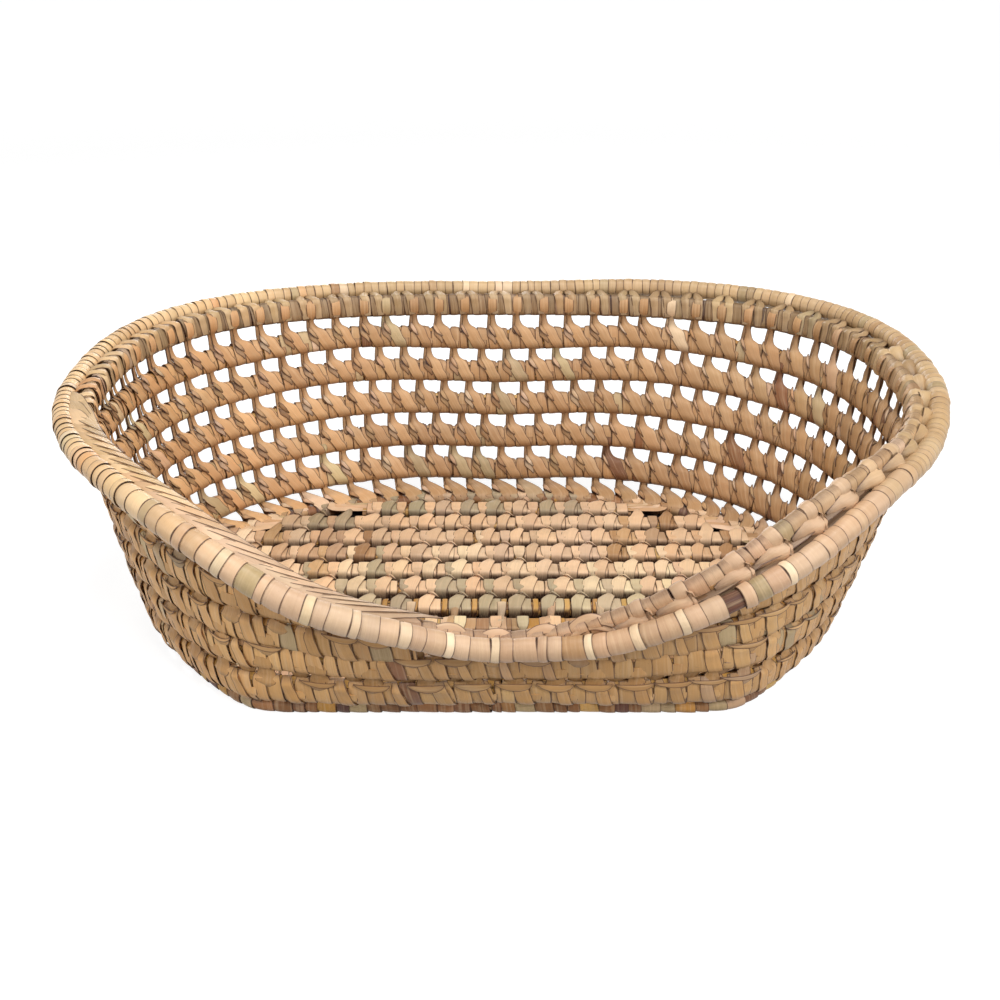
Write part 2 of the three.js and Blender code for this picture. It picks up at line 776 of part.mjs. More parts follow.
// The band's outer face stands this far out from its middle at a height a up its section.
function bandFace(a) {
  const share = Math.min(1, Math.abs(a) / (bundleWidth / 2));
  return THREE.MathUtils.lerp(bundleThickness, bundleEdge, share) / 2;
}

// A lashing from the roll's inner side to the band's outer face.
function lashing(angle) {
  const roll = frameAt(rollFrames, angle);
  const band = frameAt(bandFrames, angle);
  const half = lashingHeight / 2;
  const ring = [[-1, -1], [1, -1], [1, 1], [-1, 1]].map(([i, j]) => [i * half, (j * lashingWidth) / 2]);
  const level = THREE.MathUtils.clamp(
    roll.place.clone().sub(band.place).dot(band.a),
    -bundleWidth / 2 + half,
    bundleWidth / 2 - half,
  );
  const foot = ring.map(([across, along]) =>
    at(band, level + across, bandFace(level + across) + seatGap, along),
  );
  return { angle, ring, foot };
}

function rollMeshes() {
  const stretch = openStretch(rollFrames, brokenBindingAngle, brokenBinding);
  const hollow = rollDiameter - 2 * rollWrapThickness;
  const outer = roundSection(rollDiameter, rollSides);
  const inner = roundSection(hollow, rollHollowSides);
  const lashings = spacedAngles(rollFrames, stretch, lashingPitch, lashingWidth / 2).map(lashing);
  const angles = stretchAngles(stretch.from, stretch.to);
  const wrap = loftTube(rollFrames, angles, outer, inner, rollFace, lashings);
  const core = coreSolid(rollFrames, stretch, roundSection(hollow - 2 * coreFit, rollHollowSides));
  return [
    meshOf("rim_roll_wrap", wrap, rollColor, wrapRoughness),
    meshOf("rim_roll_core", core, rollCoreColor, coreRoughness),
  ];
}

const floor = new THREE.Group();
floorRows.forEach((row, index) => floor.add(...floorRowMeshes(row, index)));
floor.add(...edgeMeshes());

const wall = new THREE.Group();
for (let row = 0; row < wallRowCount; row += 1) wall.add(...wallRowMeshes(row));

const rim = new THREE.Group();
rim.add(...bandMeshes(), ...rollMeshes());

const basket = new THREE.Group();
basket.add(floor, wall, rim);

// Everything above is drawn about the middle of the floor. The outline's own middle goes to the origin.
const middle = new THREE.Box3().setFromObject(basket).getCenter(new THREE.Vector3());
basket.children.forEach((group) => group.position.set(-middle.x, -middle.y, 0));

export default basket;
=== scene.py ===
"""Oval pet basket coiled from palm leaf in open lace coiling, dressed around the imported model.

Lengths are in millimetres until a mesh is made. Every row is a bundle of leaf ribs bound by leaf
strips, and every strip is its own closed ribbon. Angles run anticlockwise from the right, as seen
from above, so the low entry is at -90 degrees.
"""

import math

import bpy
import numpy as np
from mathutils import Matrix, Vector


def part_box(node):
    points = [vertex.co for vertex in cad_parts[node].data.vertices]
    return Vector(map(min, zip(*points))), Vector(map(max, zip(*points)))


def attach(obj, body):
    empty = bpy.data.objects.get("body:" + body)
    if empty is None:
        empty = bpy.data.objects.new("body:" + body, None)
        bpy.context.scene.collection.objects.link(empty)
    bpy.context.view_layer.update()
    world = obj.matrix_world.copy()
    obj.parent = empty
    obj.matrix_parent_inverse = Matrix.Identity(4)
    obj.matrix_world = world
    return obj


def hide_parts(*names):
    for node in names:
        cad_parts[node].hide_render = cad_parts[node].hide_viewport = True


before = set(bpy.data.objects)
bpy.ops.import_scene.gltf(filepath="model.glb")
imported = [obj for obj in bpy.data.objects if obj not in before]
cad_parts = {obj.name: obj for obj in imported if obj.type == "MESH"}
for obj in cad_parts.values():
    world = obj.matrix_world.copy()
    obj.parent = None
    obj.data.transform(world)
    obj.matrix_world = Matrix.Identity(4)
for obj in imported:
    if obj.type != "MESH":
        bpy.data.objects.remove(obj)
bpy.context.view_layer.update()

MM = 0.001
UP = np.array([0.0, 0.0, 1.0])
random = np.random.default_rng(20)
uniform = random.uniform

# Floor outline.
FLOOR_LEFT = 199.0
FLOOR_RIGHT = 186.0
FLOOR_BACK = 130.5
FLOOR_FRONT = 132.5
FLOOR_FRONT_OVAL = 179.0
FLOOR_POWERS = (2.4, 1.8)

# Wall outline where it is widest.
WALL_HEIGHT = 133.0
WALL_SIDE = 226.0
WALL_BACK = 166.0
WALL_FRONT = 174.0
WALL_FRONT_OVAL = 184.0
WALL_POWERS = (2.7, 1.87)
CORNER_SOFTNESS = 4.0
BULGE_LEFT = 0.42
BULGE_RIGHT = 0.28

# The rim, by degrees from the middle of the front.
RIM_ANGLES = np.array([0, 15, 30, 45, 60, 75, 90, 115, 145, 180])
BAND_HEIGHTS = np.array([52, 61, 82, 108, 120, 120, 124, 127, 126.8, 126.5])
ROLL_LEFT = np.array([54, 65, 80, 106, 118, 121, 125, 132, 133, 132])
ROLL_RIGHT = np.array([54, 56, 75, 97, 114, 118, 129, 135, 135.5, 132])
ROLL_ANGLES = np.array([0, 35, 65, 100, 180])
ROLL_STANDOFFS = np.array([9.2, 12.5, 11.5, 13.5, 18.0])
BAND_TUCK_OUT = 2.0
BAND_TUCK_DOWN = 4.0
ROLL_PLUMP = 0.9

# Rows. Their rises are how much higher they lie at the front, and at the back's corners.
WALL_ROWS = 5
FLOOR_ROWS = 10
WALL_PITCH = 22.0
FRONT_PITCH = 17.4
PITCH_SPREAD = 92.0
FIRST_DROP = 3.0
BACK_LIFT = 1.6
BESIDE_BACK_LIFT = 2.4
FRONT_RISES = [3.6, 5.6, 1.0, 0.5, 0.0]
CORNER_RISES = [0.0, 0.4, 1.1, 2.0, 2.6]
FRONT_SWELL = 1.6
ROW_ROOM = 13.2
FLOOR_PITCH = 22.0
WIDE_FLOOR_PITCH = 24.8
WIDE_FLOOR_ROWS = 2
FLOOR_ROW_STEPS = 60

# Sections of the rows. A power of 2 is an oval, and a higher one is squarer.
HALF_WIDTH = 6.2
HALF_THICK = 3.4
BAND_HALF = 6.7
WALL_HALF = 7.0
FLOOR_HALF = 6.5
ROLL_RADIUS = 5.3
EDGE_POWER = 3.0
BAND_POWER = 3.0
WALL_POWER = 2.6
FLOOR_POWER = 5.0
ROLL_POWER = 2.0

# Strips.
STITCH_PITCH = 17.2
SLIP = 10.5
SLIP_ON_RIGHT = 2.7
LASHING_PITCH = 22.0
GROOVE_STRIP = 34.0
BROKEN_BINDING = -56.0
BROKEN_GAP = 8.5
EDGE_STRIP = 8.0
BAND_STRIP = 7.4
WALL_STRIP = 6.2
MISSING_STRIPS = 0.0  # No strip is left out, and its draw stays in the order.
WRAP_REACH = 1.06
CORE_RIBS = 9
RIB_STEP = 7.0
LEAF = 0.45

SAMPLES = 1440

edge_low, edge_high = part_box("floor_edge_wrap")
MIDDLE = np.array([
    (edge_low.x + edge_high.x) / 2 / MM - (FLOOR_RIGHT - FLOOR_LEFT) / 2,
    (edge_low.y + edge_high.y) / 2 / MM - (FLOOR_BACK - FLOOR_FRONT) / 2,
    0.0,
])


# Curves.
def smooth(low, high, x):
    """A soft step from 0 at low to 1 at high, which may be the lower of the two."""
    u = np.clip((x - low) / (high - low), 0, 1)
    return u * u * (3 - 2 * u)


def hump(rise_from, rise_to, fall_from, fall_to, x):
    """1 between a soft rise and a soft fall."""
    return smooth(rise_from, rise_to, x) * (1 - smooth(fall_from, fall_to, x))


def curve(values, places, slopes, x):
    """A smooth curve through values at places, with the slopes given there, read at x."""
    i = np.clip(np.searchsorted(places, x, side="right") - 1, 0, len(places) - 2)
    shape = (-1,) + (1,) * (values.ndim - 1)
    span = (places[i + 1] - places[i]).reshape(shape)
    u = (x - places[i]).reshape(shape) / span
    rise = u * u * (3 - 2 * u)
    made = values[i] + (values[i + 1] - values[i]) * rise
    return made + u * (1 - u) ** 2 * span * slopes[i] + u * u * (u - 1) * span * slopes[i + 1]


def through(angles, values, x):
    """A smooth curve through listed values, level at both ends."""
    slopes = np.zeros(len(values))
    slopes[1:-1] = (values[2:] - values[:-2]) / (angles[2:] - angles[:-2])
    return curve(values, angles, slopes, x)


def resample(values, places, wanted):
    """A smooth curve through points at places, read at the wanted places."""
    values = np.asarray(values, float)
    return curve(values, places, np.gradient(values, places, axis=0), wanted)


def unit(v):
    return v / np.maximum(np.linalg.norm(v, axis=-1, keepdims=True), 1e-9)


def squared(x, power):
    """A sine or cosine of a section's angle, drawn out towards a square."""
    return np.sign(x) * np.abs(x) ** (2 / power)


def way_round(points):
    """The way along a closed line, whose last point is the first again."""
    way = np.roll(points[:-1], -1, 0) - np.roll(points[:-1], 1, 0)
    return np.concatenate([way, way[:1]])


def level_out(points):
    """Level and square to a closed line of points, away from the basket's middle."""
    way = way_round(points)
    return unit(np.stack([way[:, 1], -way[:, 0], 0 * way[:, 0]], -1))


# Shape of the basket.
def from_front(angle):
    """Degrees from the middle of the front, up to 180 either way."""
    return np.degrees(np.abs(np.mod(angle + math.pi / 2 + math.pi, 2 * math.pi) - math.pi))


def right_share(angle):
    """0 on the left side and 1 on the right."""
    return smooth(-0.6, 0.6, np.cos(angle))


def far_right(angle):
    """1 only where the wall turns round the right end."""
    return float(smooth(0.2, 0.7, math.cos(angle)))


def left_front(angle):
    """1 along the dip of the rim on the left, falling to 0 at the middle of the front and at the side."""
    return (1 - right_share(angle)) * hump(12, 30, 58, 82, from_front(angle))


def oval(angle, side, back, front, powers, straight):
    """Radius of an oval with its own power at the back and front, and a straight run at the front."""
    across = np.abs(np.cos(angle)) / side
    deep = np.sin(angle)
    power = np.where(deep >= 0, powers[0], powers[1])
    reach = np.where(deep >= 0, back, front)
    radius = (across ** power + (np.abs(deep) / reach) ** power) ** (-1 / power)
    cut = np.where(deep < -0.01, straight / np.maximum(-deep, 0.01) - radius, 80.0)
    cut = np.minimum(cut, 80.0) / CORNER_SOFTNESS
    return radius - CORNER_SOFTNESS * np.log1p(np.exp(-cut))


def wall_point(angle, height):
    """Places on the wall, which leans out and bulges between the floor's outline and its own."""
    share = height / WALL_HEIGHT
    right = right_share(angle)
    bulge = BULGE_LEFT + (BULGE_RIGHT - BULGE_LEFT) * right
    lean = share + bulge * share * (1 - share)
    side = FLOOR_LEFT + (FLOOR_RIGHT - FLOOR_LEFT) * right
    low = oval(angle, side, FLOOR_BACK, FLOOR_FRONT_OVAL, FLOOR_POWERS, FLOOR_FRONT)
    high = oval(angle, WALL_SIDE, WALL_BACK, WALL_FRONT_OVAL, WALL_POWERS, WALL_FRONT)
    radius = low + (high - low) * lean
    point = np.stack([radius * np.cos(angle), radius * np.sin(angle), height + 0 * angle], -1)
    return point + MIDDLE


def wall_up(heights):
    """The way up the wall at a height for every sample angle."""
    return unit(wall_point(ANGLES, heights + 0.5) - wall_point(ANGLES, heights - 0.5))


ANGLES = np.linspace(-math.pi / 2, 1.5 * math.pi, SAMPLES + 1)
LEVELS = np.linspace(0, 140, 141)
GRID = wall_point(ANGLES[None, :], LEVELS[:, None] + 0 * ANGLES[None, :])
CLIMB = np.concatenate([
    np.zeros((1, SAMPLES + 1)),
    np.cumsum(np.linalg.norm(np.diff(GRID, axis=0), axis=2), 0),
])


def climbed(lengths):
    """The height at which the wall has run a length up from the floor, at every sample angle."""
    return np.array([np.interp(length, CLIMB[:, i], LEVELS) for i, length in enumerate(lengths)])


class Row:
    """A row's middle line, with section axes a (up or inwards) and b, and a x b along the row."""

    def __init__(self, points, ups, half_a, half_b, power, angles=None, closed=True, swell=None):
        steps = np.linalg.norm(np.diff(points, axis=0), axis=1)
        self.run = np.concatenate([[0], np.cumsum(steps)])
        self.length = self.run[-1]
        self.closed, self.angles = closed, angles
        self.half_a, self.half_b, self.power = half_a, half_b, power
        self.swell = 0 * self.run if swell is None else swell
        t = unit(way_round(points) if closed else np.gradient(points, axis=0))
        a = unit(ups - t * np.sum(ups * t, -1, keepdims=True))
        b = np.cross(t, a)
        self.table = np.concatenate([points, t, a, b], 1)
        self.turns = np.linspace(0, 2 * math.pi, 721)
        across = half_a * squared(np.cos(self.turns), power)
        deep = half_b * squared(np.sin(self.turns), power)
        round_it = np.concatenate([[0], np.cumsum(np.hypot(np.diff(across), np.diff(deep)))])
        self.girth = round_it[-1]
        self.shares = round_it / self.girth

    def within(self, s):
        """A distance along the row, brought round again on a closed row and held at an open one's ends."""
        return np.mod(s, self.length) if self.closed else np.clip(s, 0, self.length)

    def axes(self, s):
        """The middle line's place, the way along it and the two section axes."""
        s = self.within(np.asarray(s, float))
        whole = np.stack([np.interp(s, self.run, self.table[:, k]) for k in range(12)], -1)
        return whole[..., :3], whole[..., 3:6], whole[..., 6:9], whole[..., 9:]

    def half(self, s):
        """Half the outer face's height, which grows towards the front."""
        return self.half_a + np.interp(self.within(s), self.run, self.swell)

    def at(self, s, a, b):
        """A place of the section."""
        place, _, up, out = self.axes(s)
        return place + up * np.asarray(a, float)[..., None] + out * np.asarray(b, float)[..., None]

    def spot(self, s, a, b):
        """A place of the section, and the way away from the row's middle there."""
        _, _, up, out = self.axes(s)
        return self.at(s, a, b), unit(up * (a / self.half_a ** 2) + out * (b / self.half_b ** 2))

    def skin(self, s, turn, lift):
        """A place on the bound surface: turn 0 is the a side, a quarter turn the b side."""
        ka, kb = squared(np.cos(turn), self.power), squared(np.sin(turn), self.power)
        grown = (self.half(s) - self.half_a) * smooth(-0.3, 0.5, np.sin(turn))
        return self.at(s, (self.half_a + grown + lift) * ka, (self.half_b + lift) * kb)

    def turn_at(self, share):
        """Section angle after a share of the way round the section."""
        whole = np.floor(share)
        return np.interp(share - whole, self.shares, self.turns) + whole * 2 * math.pi

    def nearest(self, point):
        """Distance along the row of the place nearest to a point."""
        gaps = np.linalg.norm(self.table[:, :3] - point, axis=1)
        i = int(np.argmin(gaps))
        ahead = np.dot(point - self.table[i, :3], self.table[i, 3:6])
        return float(np.clip(self.run[i] + ahead, 0, self.length))

    def s_at(self, angle):
        """Distance along the row at an angle in radians."""
        turn = np.mod(angle + math.pi / 2, 2 * math.pi) - math.pi / 2
        return float(np.interp(turn, self.angles, self.run))

    def angle_at(self, s):
        return float(np.interp(self.within(s), self.run, self.angles))


# The rows.
turned = from_front(ANGLES)
ROW_STEP = FRONT_PITCH + (WALL_PITCH - FRONT_PITCH) * smooth(0, PITCH_SPREAD, turned)
ROW_DROP = FIRST_DROP * smooth(0, PITCH_SPREAD / 3, turned)
ROW_LIFT = BACK_LIFT * smooth(100, 150, turned) + BESIDE_BACK_LIFT * hump(110, 150, 155, 180, turned)
SWELL = FRONT_SWELL * (1 - smooth(60, 100, turned))
front_share = 1 - smooth(25, 70, turned)
corner_share = hump(98, 122, 142, 166, turned)
band_heights = through(RIM_ANGLES, BAND_HEIGHTS, turned)
band_climb = np.array([np.interp(h, LEVELS, CLIMB[:, i]) for i, h in enumerate(band_heights)])

outline = wall_point(ANGLES, 0 * ANGLES)
outline_out = level_out(outline)
edge_line = outline - outline_out * HALF_WIDTH + np.array([0, 0, HALF_THICK])
EDGE = Row(edge_line, -outline_out, HALF_WIDTH, HALF_THICK, EDGE_POWER, ANGLES)


def wall_row(number):
    """A wall row, which is open where it ends under the rim's dip."""
    lengths = number * ROW_STEP - ROW_DROP
    rises = FRONT_RISES[number - 1] * front_share + CORNER_RISES[number - 1] * corner_share
    heights = climbed(lengths + ROW_LIFT + rises)
    kept = np.where(band_climb - lengths > ROW_ROOM)[0]
    span = slice(kept[0], kept[-1] + 1)
    return Row(wall_point(ANGLES, heights)[span], wall_up(heights)[span], WALL_HALF, HALF_THICK,
               WALL_POWER, ANGLES[span], len(kept) == len(ANGLES), SWELL[span])


WALLS = [wall_row(number) for number in range(1, WALL_ROWS + 1)]

band_line = wall_point(ANGLES, band_heights)
tuck = level_out(band_line) * BAND_TUCK_OUT - UP * BAND_TUCK_DOWN
tucked_line = band_line + left_front(ANGLES)[:, None] * tuck
BAND = Row(tucked_line, wall_up(band_heights), BAND_HALF, HALF_THICK, BAND_POWER, ANGLES)

right = right_share(ANGLES)
roll_heights = (1 - right) * through(RIM_ANGLES, ROLL_LEFT, turned)
roll_heights = roll_heights + right * through(RIM_ANGLES, ROLL_RIGHT, turned)
standoffs = through(ROLL_ANGLES, ROLL_STANDOFFS, turned)
roll_line = band_line + level_out(band_line) * standoffs[:, None]
roll_line[:, 2] = roll_heights
ROLL = Row(roll_line, np.tile(UP, (SAMPLES + 1, 1)), ROLL_RADIUS, ROLL_RADIUS, ROLL_POWER, ANGLES)


def floor_line(index):
    """A straight floor row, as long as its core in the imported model. The last rows are further apart."""
    low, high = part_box("floor_row_%02d_core" % index)
    wide = max(0, index - (FLOOR_ROWS - WIDE_FLOOR_ROWS))
    y = FLOOR_BACK - HALF_WIDTH - (index - wide) * FLOOR_PITCH - wide * WIDE_FLOOR_PITCH + MIDDLE[1]
    xs = np.linspace(low.x / MM, high.x / MM, FLOOR_ROW_STEPS)
    line = np.stack([xs, 0 * xs + y, 0 * xs + HALF_THICK], -1)
    back = np.tile(np.array([0.0, 1.0, 0.0]), (FLOOR_ROW_STEPS, 1))
    return Row(line, back, FLOOR_HALF, HALF_THICK, FLOOR_POWER, closed=False)


FLOORS = [floor_line(index) for index in range(1, FLOOR_ROWS + 1)]


# Colours of the leaf.
def shades(*colors):
    """Linear colours from display colours, each one number: two hex digits a channel, red first."""
    c = np.array([(color >> 16, color >> 8 & 255, color & 255) for color in colors]) / 255
    return np.where(c <= 0.04045, c / 12.92, ((c + 0.055) / 1.055) ** 2.4)


INNER = shades(0xC29466, 0xB6895C, 0xCCA072, 0xAA7F56, 0xBC9569)
OUTER = shades(0xD4A46A, 0xC8985F, 0xDEB077, 0xBA8B54, 0xCE9E64)
SIDE = shades(0xCEAC7E, 0xC3A072, 0xD6B78C, 0xBA966C)
PINK = shades(0xD4AE8C, 0xCCA480, 0xDCBB9A, 0xC49C78)
BOARD = shades(0xEEC8A0, 0xE4BA90, 0xF4D2AC, 0xD8AC80)
OLIVE = shades(0xBAA078, 0xAE956E, 0xC2A87E)
GREY = shades(0xB09E7E, 0xA49374, 0xBAA886)
CREAM = shades(0xF0D4B0, 0xE8CAA4)
GOLD = shades(0xCE9A4C, 0xC28C42, 0xD8AA62)
BROWN = shades(0x8C5C3A, 0x7A5034, 0x9E6C44)
WINE = shades(0x5C3428, 0x4E2C26)
EARTH = shades(0x906036, 0x7E4E2C, 0x9B6C40, 0x6A4126)
# Dark strips that are painted shade: in the hole beside a stitch's knot, and in the gap beside the rim's
# pleats.
HOLE_SHADE = WINE[1] * 0.4
GAP_SHADE = WINE[1] * 0.45

# Lists of colours with their weights.
ODDS = ((OLIVE, 3), (BROWN, 1), (PINK, 1))
EDGE_ODDS = ((OLIVE, 1), (PINK, 1), (BROWN, 1.4), (WINE, 1.2), (GOLD, 1))
RIM_ODDS = ((OLIVE, 1), (INNER, 1), (CREAM, 0.25))
GOLDEN = ((GOLD, 4), (INNER, 2), (BROWN, 0.8))
PANELS = ((GOLD, 3), (BROWN, 0.3), (INNER, 1))
PALE = ((CREAM, 1), (BOARD, 2))
DARK = ((BROWN, 2), (WINE, 3))


def pick(*choices):
    """A colour from one of the weighted lists, a little varied."""
    weights = np.array([weight for _, weight in choices], float)
    tones = choices[random.choice(len(choices), p=weights / weights.sum())][0]
    tone = tones[random.integers(len(tones))]
    return np.clip(tone * (1 + random.normal(0, 0.05)) * (1 + random.normal(0, 0.015, 3)), 0, 1)


def bounded(tone):
    """The same hue, no brighter than a leaf can be."""
    return tone * min(1.0, 0.9 / float(np.max(tone)))


def dulled(tone, share):
    """The tone times a share, as a colour that can be shown."""
    return np.clip(tone * share, 0, 1)


class Tint:
    """Colours of strips along a row: a slow drift, small differences, now and then an odd strip."""

    def __init__(self, odd):
        self.tone = None
        self.odd = odd

    def __call__(self, usual, odds):
        fresh = pick(*usual)
        self.tone = fresh if self.tone is None else self.tone * 0.6 + fresh * 0.4
        if uniform() < self.odd:
            return pick(*odds)
        return dulled(self.tone, 1 + random.normal(0, 0.05))


# The odd 0.0001 keeps rounding from taking a weight below 0.
def wall_tone(tint, angle):
    front = 1 - smooth(50, 110, from_front(angle))
    left = smooth(0.3, 0.9, -np.cos(angle))
    # Painted light: the wall's tone is up to 46 % lighter on the left side.
    return bounded(tint(((OUTER, front), (INNER, 1.0001 - front)), ODDS) * (1 + 0.46 * left))


def band_tone(tint, angle):
    turn = from_front(angle)
    front = 1 - smooth(35, 75, turn)
    bright = 1.12 - 0.62 * smooth(75, 125, turn)
    usual = ((PINK, front), (SIDE, 1.2 * (1 - front)), (INNER, 0.5001 - 0.5 * front))
    return bounded(tint(usual, ODDS) * bright)


def rim_tone(tint, angle):
    front = 1 - smooth(35, 75, from_front(angle))
    left = smooth(0.4, 0.9, -np.cos(angle))
    # Painted light: the rim's tone is up to 46 % lighter on the left side, from a base of 0.95.
    return bounded(tint(((PINK, front), (SIDE, 1.0001 - front)), RIM_ODDS) * (0.95 + 0.46 * left))


# Ribbons. A strip's ring has five places across its upper face and two under it.
TOP = np.array([-1.0, -0.62, 0.0, 0.62, 1.0])
UNDER = np.array([0.7, -0.7])
ACROSS = np.concatenate([TOP, UNDER])
RING = len(ACROSS)
UNDERSIDE = np.where(np.arange(RING) >= len(TOP), LEAF, 0.0)


def even_steps(line, rings):
    """Distances along a line of points, even ones for a strip's rings, and a way to read values there."""
    gaps = np.linalg.norm(np.diff(line, axis=0), axis=1)
    places = np.concatenate([[0], np.cumsum(np.maximum(gaps, 1e-3))])
    wanted = np.linspace(0, places[-1], rings)

    def spread(values):
        return np.interp(wanted, places, np.broadcast_to(np.asarray(values, float), len(line)))

    return places, wanted, spread


class Leaves:
    """Collects ribbons and makes one mesh object of them."""

    def __init__(self):
        self.points, self.faces, self.caps = [], [], []
        self.tones, self.strips, self.marks = [], [], []
        self.count = 0

    def add(self, rings, tone, across, along, crease_shade):
        """One strip from its rings. across and along are in millimetres, and the last, 0 to 1, is how much
        painted shade darkens it in creases and where it tucks under.
        """
        n = len(rings)
        number = np.arange(n * RING).reshape(n, RING) + self.count
        near, far = number[:-1], number[1:]
        self.faces.append(np.stack([near, np.roll(near, -1, 1), np.roll(far, -1, 1), far], -1).reshape(-1, 4))
        self.caps += [number[0][::-1].tolist(), number[-1].tolist()]
        self.points.append(rings.reshape(-1, 3))
        self.tones.append(np.tile(tone, (n * RING, 1)))
        seed = uniform(0, 100)
        along, crease_shade = (np.repeat(v[:, None], RING, 1) for v in (along, crease_shade))
        self.strips.append(np.stack([across + seed, along, np.full_like(across, seed)], -1).reshape(-1, 3))
        side = np.abs(across)
        mark = np.stack([side.max(1, keepdims=True) - side, crease_shade, 0 * crease_shade], -1)
        self.marks.append(mark.reshape(-1, 3))
        self.count += n * RING

    def lay(self, centre, side, normal, half, tone, curl, along, crease_shade):
        """A strip half as wide to each side of its middle line, rolled lengthwise by curl."""
        half = half[:, None]
        bend = np.maximum(curl, 0.02)[:, None]
        flat = half * np.sin(ACROSS * bend) / bend
        high = half * (np.cos(ACROSS * bend) - 1) / bend - UNDERSIDE
        rings = centre[:, None] + side[:, None] * flat[..., None] + normal[:, None] * high[..., None]
        self.add(rings, tone, half * ACROSS, along, crease_shade)

    def ribbon(self, points, normals, widths, tone, curl, rings, crease_shade=0.0, twist=0.0):
        """A strip along a curve: curl rolls it lengthwise, and twist turns it about its own line."""
        points = np.asarray(points, float)
        places, wanted, spread = even_steps(points, rings)
        centre = resample(points, places, wanted)
        hint = resample(normals, places, wanted)
        side = unit(np.cross(unit(np.gradient(centre, axis=0)), hint))
        normal = np.cross(side, unit(np.gradient(centre, axis=0)))
        turn = spread(twist)[:, None]
        turned_side = side * np.cos(turn) + normal * np.sin(turn)
        turned_normal = normal * np.cos(turn) - side * np.sin(turn)
        self.lay(centre, turned_side, turned_normal, spread(widths) / 2, tone, spread(curl), wanted,
                 spread(crease_shade))

    def strand(self, places, widths, tone, curl, rings, crease_shade=0.0, twist=0.0):
        """A ribbon along places given as a point and the way its face looks."""
        points, normals = zip(*places)
        self.ribbon(points, normals, widths, tone, curl, rings, crease_shade, twist)

    def sheet(self, lefts, rights, faces, tone, curl, rings, crease_shade):
        """A strip between two edge lines, which looks towards faces."""
        lefts, rights, faces = (np.asarray(v, float) for v in (lefts, rights, faces))
        places, wanted, spread = even_steps((lefts + rights) / 2, rings)
        left, right, hint = (resample(v, places, wanted) for v in (lefts, rights, faces))
        centre = (left + right) / 2
        side = unit(right - left)
        if np.sum(np.cross(unit(np.gradient(centre, axis=0)), hint) * side) < 0:
            side = -side
        normal = unit(hint - side * np.sum(hint * side, -1, keepdims=True))
        half = np.linalg.norm(right - left, axis=1) / 2
        self.lay(centre, side, normal, half, tone, spread(curl), wanted, spread(crease_shade))

    def wrap(self, row, s, width, advance, tone, start=0.5, lift=0.1, tilt=0.2, crown=0.25,
             narrow=0.0, rings=19, front_shade=False, turn_shade=0.0):
        """One turn of a strip round a row, from a share of the section, gaining advance along it.

        tilt lifts one edge, crown the middle, and narrow draws it in at the a side. Painted shade
        darkens it low on a floor row's front when asked, and by a given share where it turns in.
        """
        share = np.linspace(0, 1, rings)
        turn = row.turn_at(start - share * WRAP_REACH)
        pinch = 1 - narrow * np.clip(np.cos(turn), 0, 1) ** 2
        half = width / 2 * pinch[:, None]
        drift = advance * share + 0.25 * np.sin(turn * 2 + uniform(0, 6.3))
        along = s + drift[:, None] + half * ACROSS
        tuck = np.clip(np.minimum(share, 1 - share) / 0.08, 0, 1)[:, None]
        high = lift + tilt * ACROSS + crown * (1 - ACROSS * ACROSS) - UNDERSIDE - 0.35 * (1 - tuck)
        rings_made = row.skin(along, turn[:, None] + 0 * along, high)
        # Painted shade: dark low on a floor row's front face, and darker by a given share where the strip
        # turns in at the row's top and bottom.
        wrap_shade = smooth(0.36, 0.06, np.sin(turn)) * (np.cos(turn) < 0.3) if front_shade else 0 * turn
        wrap_shade = np.maximum(wrap_shade, turn_shade * smooth(0.62, 0.98, np.abs(np.cos(turn))))
        self.add(rings_made, tone, half * ACROSS, share * row.girth, wrap_shade)

    def piece(self, node, material):
        """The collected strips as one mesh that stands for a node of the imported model."""
        mesh = bpy.data.meshes.new("leaf_" + node)
        quads = np.concatenate(self.faces)
        mesh.from_pydata((np.concatenate(self.points) * MM).tolist(), [], quads.tolist() + self.caps)
        tones = np.concatenate(self.tones)
        colors = np.concatenate([tones, np.ones((len(tones), 1))], 1)
        for name, kind, field, values in (
                ("leaf_tone", "FLOAT_COLOR", "color", colors),
                ("leaf_strip", "FLOAT_VECTOR", "vector", np.concatenate(self.strips)),
                ("leaf_mark", "FLOAT_VECTOR", "vector", np.concatenate(self.marks))):
            mesh.attributes.new(name, kind, "POINT").data.foreach_set(field, values.ravel())
        mesh.materials.append(material)
        mesh.shade_smooth()
        mesh.set_sharp_from_angle(angle=math.radians(50))
        made = add_object("leaf_" + node, mesh)
        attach(made, "root")
        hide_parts(node)


def add_object(name, data):
    made = bpy.data.objects.new(name, data)
    bpy.context.scene.collection.objects.link(made)
    return made


# Materials.
def shading(name):
    """A new material, and a way to add its nodes, with values or links for their inputs."""
    material = bpy.data.materials.new(name)
    material.use_nodes = True
    nodes, links = material.node_tree.nodes, material.node_tree.links
    nodes.clear()

    def add(kind, inputs, **settings):
        node = nodes.new("ShaderNode" + kind)
        for key, value in settings.items():
            setattr(node, key, value)
        for key, value in inputs.items():
            if isinstance(value, bpy.types.NodeSocket):
                links.new(value, node.inputs[key])
            else:
                node.inputs[key].default_value = value
        return node

    return material, add


